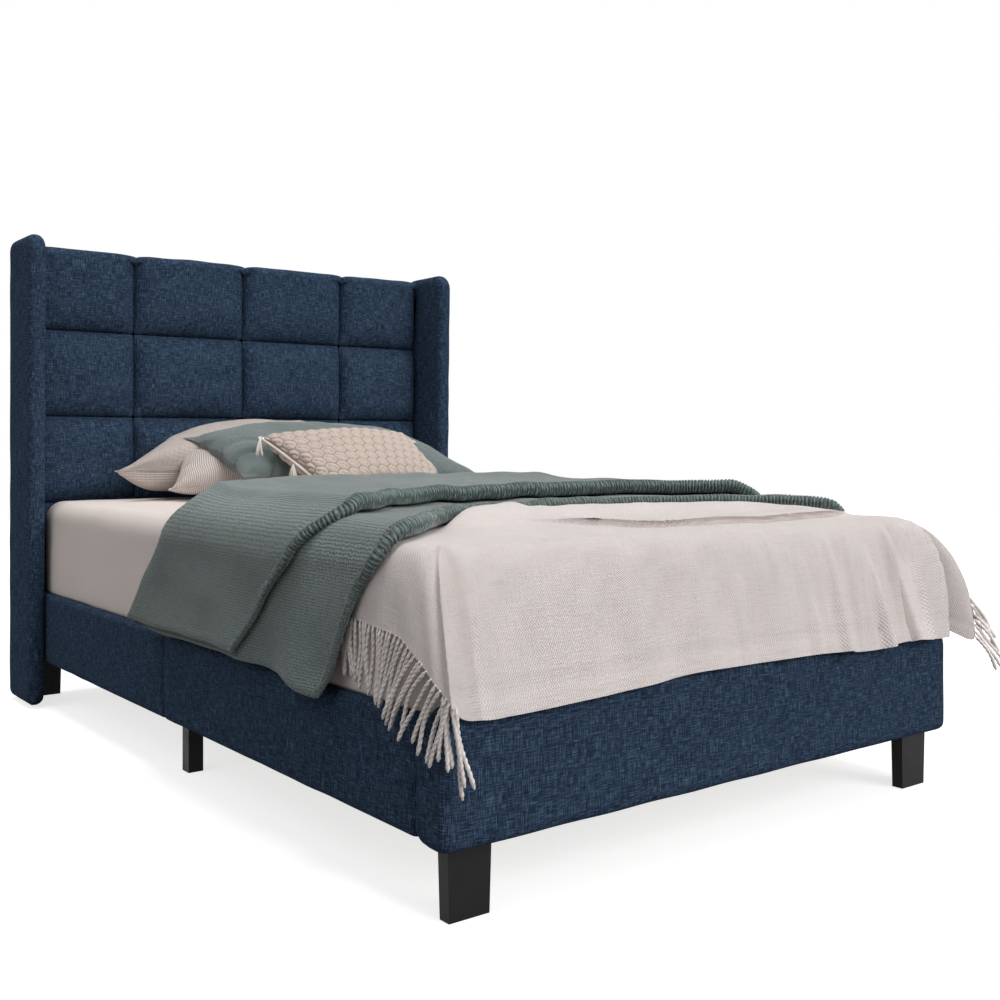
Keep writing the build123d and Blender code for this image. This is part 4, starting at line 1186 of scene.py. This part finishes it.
def duvet_section(place):
    """The folded duvet cut across at one place along its arch: points, and their places on the cloth."""
    edges = (through(edge, np.array([place]))[0] for edge in (FOLD_EDGE, UPPER_EDGE, LOWER_EDGE))
    y, lift, layer = duvet_loop(*edges)
    out = abs(place)
    side = smooth_step(out, 540, 625)
    rim = math.sqrt(1 - (1 - min((DUVET_REACH - out) / 16 + 0.02, 1)) ** 2)
    middle = (LOWER_LAYER / 2) * (1 - layer) + (LOWER_LAYER + LAYER_GAP + UPPER_LAYER / 2) * layer
    lift = (middle + (lift - middle) * rim) * (1 - (1 - SIDE_THINNING) * side)
    longer = 1 + 0.024 * smooth_step(-y, -545, -322) * (1 - layer)
    along = place * (1 - 0.018 * layer * side) * longer
    spots = np.stack([along, y], axis=-1)
    slanted = np.stack([along * 0.25, y + 0.35 * np.abs(along)], axis=-1)
    hanging = max(0.0, (out - 640) / 200) ** 1.2
    lift = lift + np.clip((0.5 + 0.5 * ripple(slanted, 150, 71)) * 13 * hanging, 0, None)
    lift = lift + (1 - side) * np.clip(2.5 + 2.5 * ripple(spots, 260, 72), 0, None)
    lift = lift + np.where(lift > 4, 1.6 * ripple(spots * [1, 0.6], 95, 73), 0) * rim
    lift = lift - 4.5 * smooth_step(y, 640, 760) * (1 - side)
    across, up = arch(along, lift)
    run = np.hypot(np.diff(y, prepend=y[0]), np.diff(lift, prepend=lift[0])).cumsum()
    return np.stack([across, FOOT_FACE + y, up], axis=-1), np.stack([along, run], axis=-1)


def make_duvet():
    ends = DUVET_REACH - END_BAND * np.linspace(0, 1, 13)[:-1]
    inner = DUVET_REACH - END_BAND
    places = np.concatenate([-ends, np.linspace(-inner, inner, 190), ends[::-1]])
    sections, cloth_places = (np.array(rows) for rows in zip(*(duvet_section(place) for place in places)))
    duvet = loft("duvet_folded", sections)
    lay_uv(duvet, cloth_places.reshape(-1, 2))
    dress(duvet, "green_waffle", ["duvet"])
    gathered = 1 - smooth_step(np.abs(places), 560, 760)
    for name, first in ROLL_STARTS.items():
        start, end = sections[:, first], sections[:, first + EDGE_POINTS - 1]
        girth = np.linalg.norm(start - end, axis=1) / 2 * MM + 0.001 + 0.0034 * gathered
        sizes = {"Pitch": 0.0078, "Depth": 0.0058, "Slant": 0.25, "Step": 0.0013}
        rib = 0.15 + 0.85 * gathered
        grow_roll(name, (start + end) / 2, girth, rib, "green_waffle", "green_waffle", **sizes)


# Pillows: seam corners from lower left round to upper left, across, from the foot rail's front and up;
# how deep the belly is each way and how it thins to the ends, how far the lower and upper seams arch,
# a flat flange's width, and the cloth's size
PILLOWS = {
    "pillow_back": {
        "corners": ((-484, 1745, 628), (340, 1640, 600), (400, 1930, 700), (-280, 1930, 700)),
        "belly": (98, 112), "taper": 0.5, "rise": (0, 24), "flange": 0,
        "size": (800, 450), "slot": "beige_stripe",
    },
    "pillow_front": {
        "corners": ((-378, 1640, 580), (330, 1500, 590), (410, 1800, 690), (-280, 1850, 690)),
        "belly": (72, 60), "taper": 0.1, "rise": (0, 10), "flange": 0,
        "size": (800, 450), "slot": "beige_stripe",
    },
    "pillow_green": {
        "corners": ((-246, 1490, 612), (540, 1400, 575), (490, 1800, 706), (-290, 1765, 716)),
        "belly": (60, 50), "taper": 0.3, "rise": (0, 46), "flange": 26,
        "size": (800, 450), "slot": "green_waffle",
    },
    "pillow_knit": {
        "corners": ((-66, 1322, 568), (314, 1350, 566), (330, 1600, 722), (-172, 1520, 716)),
        "belly": (50, 34), "taper": 0.1, "rise": (6, 14), "flange": 0,
        "size": (508, 305), "slot": "cream_knit",
    },
}
STRAIGHTENED = 0.65
BLOWN_FRAMES = 16
PILLOW_CLOTH = {
    "use_pressure": True, "uniform_pressure_force": 3.0, "quality": 4, "mass": 0.3, "tension_stiffness": 12,
    "compression_stiffness": 12, "shear_stiffness": 4, "bending_stiffness": 0.3,
}


def blow_up(obj):
    """Blender's cloth under pressure and without weight, kept as plain mesh."""
    scene = bpy.context.scene
    scene.frame_set(1)
    cloth = modify(obj, "CLOTH")
    cloth.settings.effector_weights.gravity = 0.0
    for key, value in PILLOW_CLOTH.items():
        setattr(cloth.settings, key, value)
    cloth.point_cache.frame_start, cloth.point_cache.frame_end = 1, BLOWN_FRAMES
    for frame_number in range(1, BLOWN_FRAMES + 1):
        scene.frame_set(frame_number)
    take_modifiers(obj)
    scene.frame_set(1)


def blown_pillow(name, width, height, cell):
    """Two sheets sewn at the rim and blown up: a mesh from -1 to 1 each way, its cloth places and rim."""
    columns, rows = round(width / cell) + 1, round(height / cell) + 1
    u, v = np.meshgrid(np.linspace(-1, 1, columns), np.linspace(-1, 1, rows), indexing="ij")
    crown = 42 * np.clip((1 - u**2) * (1 - v**2), 0, None) ** 0.55
    across, along = u * (1 - 0.045 * (1 - v**2)) * width / 2, v * (1 - 0.07 * (1 - u**2)) * height / 2
    front = np.stack([across, along, crown], axis=-1)
    back = (front * [1, 1, -1])[1:-1, 1:-1]
    index = np.arange(columns * rows).reshape(columns, rows)
    back_index = index.copy()
    back_index[1:-1, 1:-1] = np.arange(back[..., 0].size).reshape(columns - 2, rows - 2) + index.size
    quads = np.array(grid_faces(columns, rows))
    faces = quads.tolist() + back_index.reshape(-1)[quads][:, ::-1].tolist()
    cut = np.stack([u * width / 2, v * height / 2], axis=-1)
    places = np.concatenate([cut.reshape(-1, 2), cut[1:-1, 1:-1].reshape(-1, 2)])
    pillow = raw_object(name, np.concatenate([front.reshape(-1, 3), back.reshape(-1, 3)]), faces)
    blow_up(face_outwards(pillow))
    points = points_of(pillow)
    low, high = points.min(axis=0), points.max(axis=0)
    unit = (points * 2 - low - high) / (high - low)
    end, top = unit[index[-1]], unit[index[:, -1]]
    reach_x = np.interp(unit[:, 1], end[:, 1], end[:, 0])
    reach_y = np.interp(unit[:, 0], top[:, 0], top[:, 1])
    unit[:, :2] /= 1 - STRAIGHTENED * (1 - np.stack([reach_x, reach_y], axis=1))
    set_points(pillow, unit)
    rim = np.concatenate([index[:-1, 0], index[-1, :-1], index[:0:-1, -1], index[0, :0:-1]])
    return pillow, places, rim


def kept_above(value, floor, softness):
    """The value, bent softly so that it never goes below floor."""
    return floor + np.logaddexp(0, (value - floor) / softness) * softness


def lie(unit, pillow):
    """Points of a pillow of unit size where it lies, pressed flat by the mattress and the headboard."""
    corners = np.array(pillow["corners"], float)
    u, v, w = unit[:, :1], unit[:, 1:2], unit[:, 2:]
    low = corners[0] + (corners[1] - corners[0]) * (1 + u) / 2
    high = corners[3] + (corners[2] - corners[3]) * (1 + u) / 2
    middle = low + (high - low) * (1 + v) / 2
    across = (corners[1] - corners[0]) * (1 - v) + (corners[2] - corners[3]) * (1 + v)
    normal = np.cross(across, high - low)
    normal /= np.linalg.norm(normal, axis=1, keepdims=True)
    width, height = pillow["size"]
    rim = np.minimum((1 - np.abs(u)) * width / 2, (1 - np.abs(v)) * height / 2)
    flange = pillow["flange"]
    full = smooth_step(rim, flange * 0.7, flange * 1.4 + 1) * 0.9 + 0.1 if flange else 1.0
    taper = np.where(w > 0, np.clip(1 - np.abs(u) ** 3, 0, 1) ** pillow["taper"], 1.0)
    depth = np.where(w > 0, *pillow["belly"]) * w * full * taper
    low_rise, high_rise = pillow["rise"]
    arched = (low_rise + (high_rise - low_rise) * (1 + v) / 2) * (1 - u**2)
    placed = middle + normal * (depth + arched) + [0, FOOT_FACE, 0]
    placed[:, 2] = kept_above(placed[:, 2], SHEET_TOP + 2, 5)
    placed[:, 1] = -kept_above(-placed[:, 1], -HEADBOARD_FACE, 5)
    return placed


# How far apart the knit's puffs are along and across their rows
PUFF = (36.0, 31.0)


def puffs(places):
    """Height of the knit's staggered puffs, each with a curl drawn into it, 0 in their seams."""
    rows = np.stack([np.round(places[:, 1] / PUFF[1]) + shift for shift in (-1, 0, 1)], axis=1)
    stagger = (rows % 2) * 0.5
    centre_x = (np.round(places[:, :1] / PUFF[0] - stagger) + stagger) * PUFF[0]
    away_x = places[:, :1] - np.concatenate([centre_x - PUFF[0], centre_x, centre_x + PUFF[0]], axis=1)
    away_y = places[:, 1:] - np.concatenate([rows * PUFF[1]] * 3, axis=1)
    far = np.hypot(away_x, away_y)
    order = np.argsort(far, axis=1)
    first, second = (np.take_along_axis(far, order[:, i : i + 1], axis=1)[:, 0] for i in (0, 1))
    p, q = (np.take_along_axis(side, order[:, :1], axis=1)[:, 0] for side in (away_x, away_y))
    curl = near(p + 6.5 * np.sin(q * math.pi / 12), 2.4) * smooth_step(13 - np.abs(q), 0, 5)
    return swell((second - first) / 2, 15, 2.0) * (1 - 0.8 * curl)


def surface_of(obj):
    return BVHTree.FromPolygons(points_of(obj).tolist(), [tuple(face.vertices) for face in obj.data.polygons])


def clear_of(line, tree, gap):
    """The line's points, moved out to a gap above a surface that they would sink into."""
    moved = []
    for point in line:
        surface, normal = (np.array(vector) for vector in tree.find_nearest(point)[:2])
        moved.append(surface + normal * gap if (point - surface) @ normal < gap else point)
    return np.array(moved)


# How far the cushion's filling lies over the pillow that it presses in
PRESSED_GAP = 3.0


def pressed_under(obj, upper, way):
    """Presses obj's surface down to a gap under the piece that lies on it; way points out of the bed."""
    tree = surface_of(upper)
    way = np.array(way) / np.linalg.norm(way)
    points = points_of(obj)
    for i, point in enumerate(points):
        hit = tree.ray_cast((point - way * 400).tolist(), way.tolist())[0]
        if hit is not None and (point - np.array(hit)) @ way > -PRESSED_GAP:
            points[i] = np.array(hit) - way * PRESSED_GAP
    set_points(obj, points)


TASSEL_THREADS = 26


def make_tassels(pillow, below):
    """Bundles of cotton threads at the corners and the middle of the knitted pillow's two ends."""
    lines, draw, surface = [], np.random.default_rng(91), surface_of(below)
    q = np.linspace(0, 1, 9)[:, None]
    for u in (-1, 1):
        for v in (-0.98, 0.05, 0.98):
            root = lie(np.array([[u, v, 0.0]]), pillow)[0] + [u * 4, -6, 2]
            for _ in range(TASSEL_THREADS):
                spread = draw.uniform(-1, 1, 3) * [8, 8, 5]
                out = [u * 12, -14, 3] + spread * 0.3
                line = root + out * np.sin(q * math.pi / 2) + ([0, -6, -44] + spread) * q**1.4
                lines.append(clear_of(line, surface, draw.uniform(2, 8)))
    for line in lines:
        line[:, 2] = kept_above(line[:, 2], SHEET_TOP + 4, 4)
    sizes = {"Thickness": 0.0024, "Twist": 60.0, "Step": 0.005}
    grow_strands("pillow_knit_tassels", lines, draw, "cream_knit", "cream_cord", **sizes)


def make_piping(name, rim_points, slot, shade, girth):
    """A corded seam round a pillow's rim."""
    loop = np.concatenate([rim_points, rim_points[:1]])
    girths, rib = (np.full(len(loop), value) for value in (girth * MM, 0.25))
    grow_roll(name, loop, girths, rib, slot, shade, Pitch=0.004, Depth=0.0016, Slant=0.6, Step=0.0022)


# The middle of the fold where the green pillow is pushed in at its left end
TUCK = (-205.0, 1500.0 + FOOT_FACE, 650.0)


def tuck_fold(pillow):
    """A round fold where the pillow is pushed in, and two creases that run into it."""
    across, along, up = (points_of(pillow) - TUCK).T
    far = np.hypot(across, np.hypot(along * 0.8, up * 0.8))
    angle = np.arctan2(along, across)
    groove = near(far - 62 - 6 * np.sin(angle * 2), 7) * smooth_step(np.sin(angle + 0.4), -0.6, 0.2)
    outer = near(far - 108 - 12 * np.cos(angle), 8) * smooth_step(np.sin(angle), 0.1, 0.7)
    push_out(pillow, 2 * near(far, 42) - 11 * groove - 4 * outer)


def quilt(pillow):
    """Raises the knit's puffs and keeps a value that paints shade into the low cloth between them."""
    mesh = pillow.data
    spots = np.empty((len(mesh.vertices), 2))
    corners = read(mesh.loops, "vertex_index", kind=np.int64)
    spots[corners] = read(mesh.uv_layers[0].data, "uv", 2) / MM
    half = np.array(PILLOWS["pillow_knit"]["size"]) / 2
    seam = (half - np.abs(spots)).min(axis=1)
    relief = puffs(spots) * smooth_step(seam, 2, 16)
    push_out(pillow, 9.0 * (relief - 0.5))
    # Painted shade: this value darkens the cloth's colour in the low places between the puffs.
    keep_values(mesh, "hollow_shade", np.clip(1 - relief / 0.6, 0, 1) * smooth_step(seam, 4, 14))


# The pillows that lie slack, each with its seed
SLACK = {"pillow_back": 95, "pillow_front": 96, "pillow_green": 97}
# Seams: the piece, its pillow, its finish and its girth
SEAMS = (
    ("pillow_knit_piping", "pillow_knit", "cream_cord", 3.4),
    ("pillow_back_seam", "pillow_back", "beige_stripe", 1.8),
    ("pillow_front_piping", "pillow_front", "beige_stripe", 2.8),
)


def make_pillows():
    made, rims = {}, {}
    for name, pillow in PILLOWS.items():
        fine = name == "pillow_knit"
        obj, places, rim = blown_pillow(name + "_filled", *pillow["size"], cell=12 if fine else 15)
        unit = points_of(obj)
        set_points(obj, lie(unit, pillow))
        lay_uv(obj, places[:, ::-1] if name == "pillow_front" else places)
        levels = 2 if fine else 1
        modify(obj, "SUBSURF", levels=levels, render_levels=levels)
        made[name], rims[name] = take_modifiers(obj), lie(unit[rim], pillow)
    for name, seed in SLACK.items():
        push_out(made[name], 2 - 4.5 * np.abs(ripple(points_of(made[name]), 150, seed)))
    knit, green = made["pillow_knit"], made["pillow_green"]
    tuck_fold(green)
    pressed_under(green, knit, (0.0, -0.5, 0.85))
    quilt(knit)
    for name, obj in made.items():
        dress(obj, PILLOWS[name]["slot"], [name])
    for name, pillow, shade, girth in SEAMS:
        make_piping(name, rims[pillow], PILLOWS[pillow]["slot"], shade, girth)
    make_tassels(PILLOWS["pillow_knit"], green)


# Stage: the camera's lens, place and level direction, and what its picture is shifted by
LENS = 42.85
SENSOR = 36.0
EYE = (-1.5953, -2.3999, 0.7015)
LOOK = (0.608, 0.794)
SHIFT_Y = -0.0563
FLOOR_REACH = 9000.0
WORLD_LIGHT = 0.3
# Suns: the direction that they come from, how soft they are in degrees, and their level
SUNS = {
    "overhead": ((0.0, 0.0, 1.0), 25, 0.42),
    "front": ((0.25, -0.9, 0.5), 40, 0.58),
    "left_fill": ((-0.75, -0.15, 0.65), 50, 0.17),
}


def make_camera():
    data = bpy.data.cameras.new("camera")
    data.lens, data.sensor_width = LENS, SENSOR
    data.sensor_fit = "HORIZONTAL"
    data.shift_y = SHIFT_Y
    camera = linked("camera", data)
    camera.location = EYE
    camera.rotation_euler = (math.pi / 2, 0, -math.atan2(*LOOK))
    bpy.context.scene.camera = camera


def soft_sun(name, way, spread, level):
    """Light that comes from a direction with soft shadows; a face square to it gets that level."""
    data = bpy.data.lights.new(name, "SUN")
    data.angle, data.energy = math.radians(spread), level * math.pi
    x, y, z = way
    linked(name, data).rotation_euler = (math.atan2(math.hypot(x, y), z), 0, math.atan2(y, x) + math.pi / 2)


def seen_directly(tree):
    """1 for what the camera, a mirror or glass shows, 0 for light on the object."""
    path = node(tree, "LightPath")
    seen = calc(tree, "MAXIMUM", path["Is Camera Ray"], path["Is Glossy Ray"])
    return calc(tree, "MAXIMUM", seen, path["Is Transmission Ray"])


def make_stage():
    world = bpy.data.worlds.new("studio")
    bpy.context.scene.world = world
    world.use_nodes = True
    tree = world.node_tree
    background = tree.nodes["Background"].inputs
    background["Color"].default_value = (1, 1, 1, 1)
    tree.links.new(mix(seen_directly(tree), WORLD_LIGHT, 1.0).socket, background["Strength"])

    corners = [(x * FLOOR_REACH, y * FLOOR_REACH, 0) for x, y in ((-1, -1), (1, -1), (1, 1), (-1, 1))]
    floor = raw_object("floor", corners, [(0, 1, 2, 3)])
    pale = bpy.data.materials.new("pale_floor")
    pale.use_nodes = True
    tree = pale.node_tree
    tree.nodes.clear()
    bounce = node(tree, "BsdfDiffuse", {"Color": (0.12, 0.12, 0.12, 1)})[0]
    shade = node(tree, "BsdfDiffuse", {"Color": (0.6, 0.6, 0.6, 1)})[0]
    glow = node(tree, "Emission", {"Color": (1, 1, 1, 1), "Strength": 0.72})[0]
    both = node(tree, "AddShader", {0: shade, 1: glow})[0]
    mixed = node(tree, "MixShader", {0: seen_directly(tree), 1: bounce, 2: both})[0]
    node(tree, "OutputMaterial", {"Surface": mixed})
    floor.data.materials.append(pale)

    for name, sun in SUNS.items():
        soft_sun(name, *sun)
    bpy.context.scene.view_settings.view_transform = "Standard"


make_camera()
make_stage()
finish_frame()
make_headboard()
make_wings()
make_rails()
make_foot()
make_back_cloth()
make_mattress()
make_fitted_sheet()
make_throw()
make_duvet()
make_pillows()
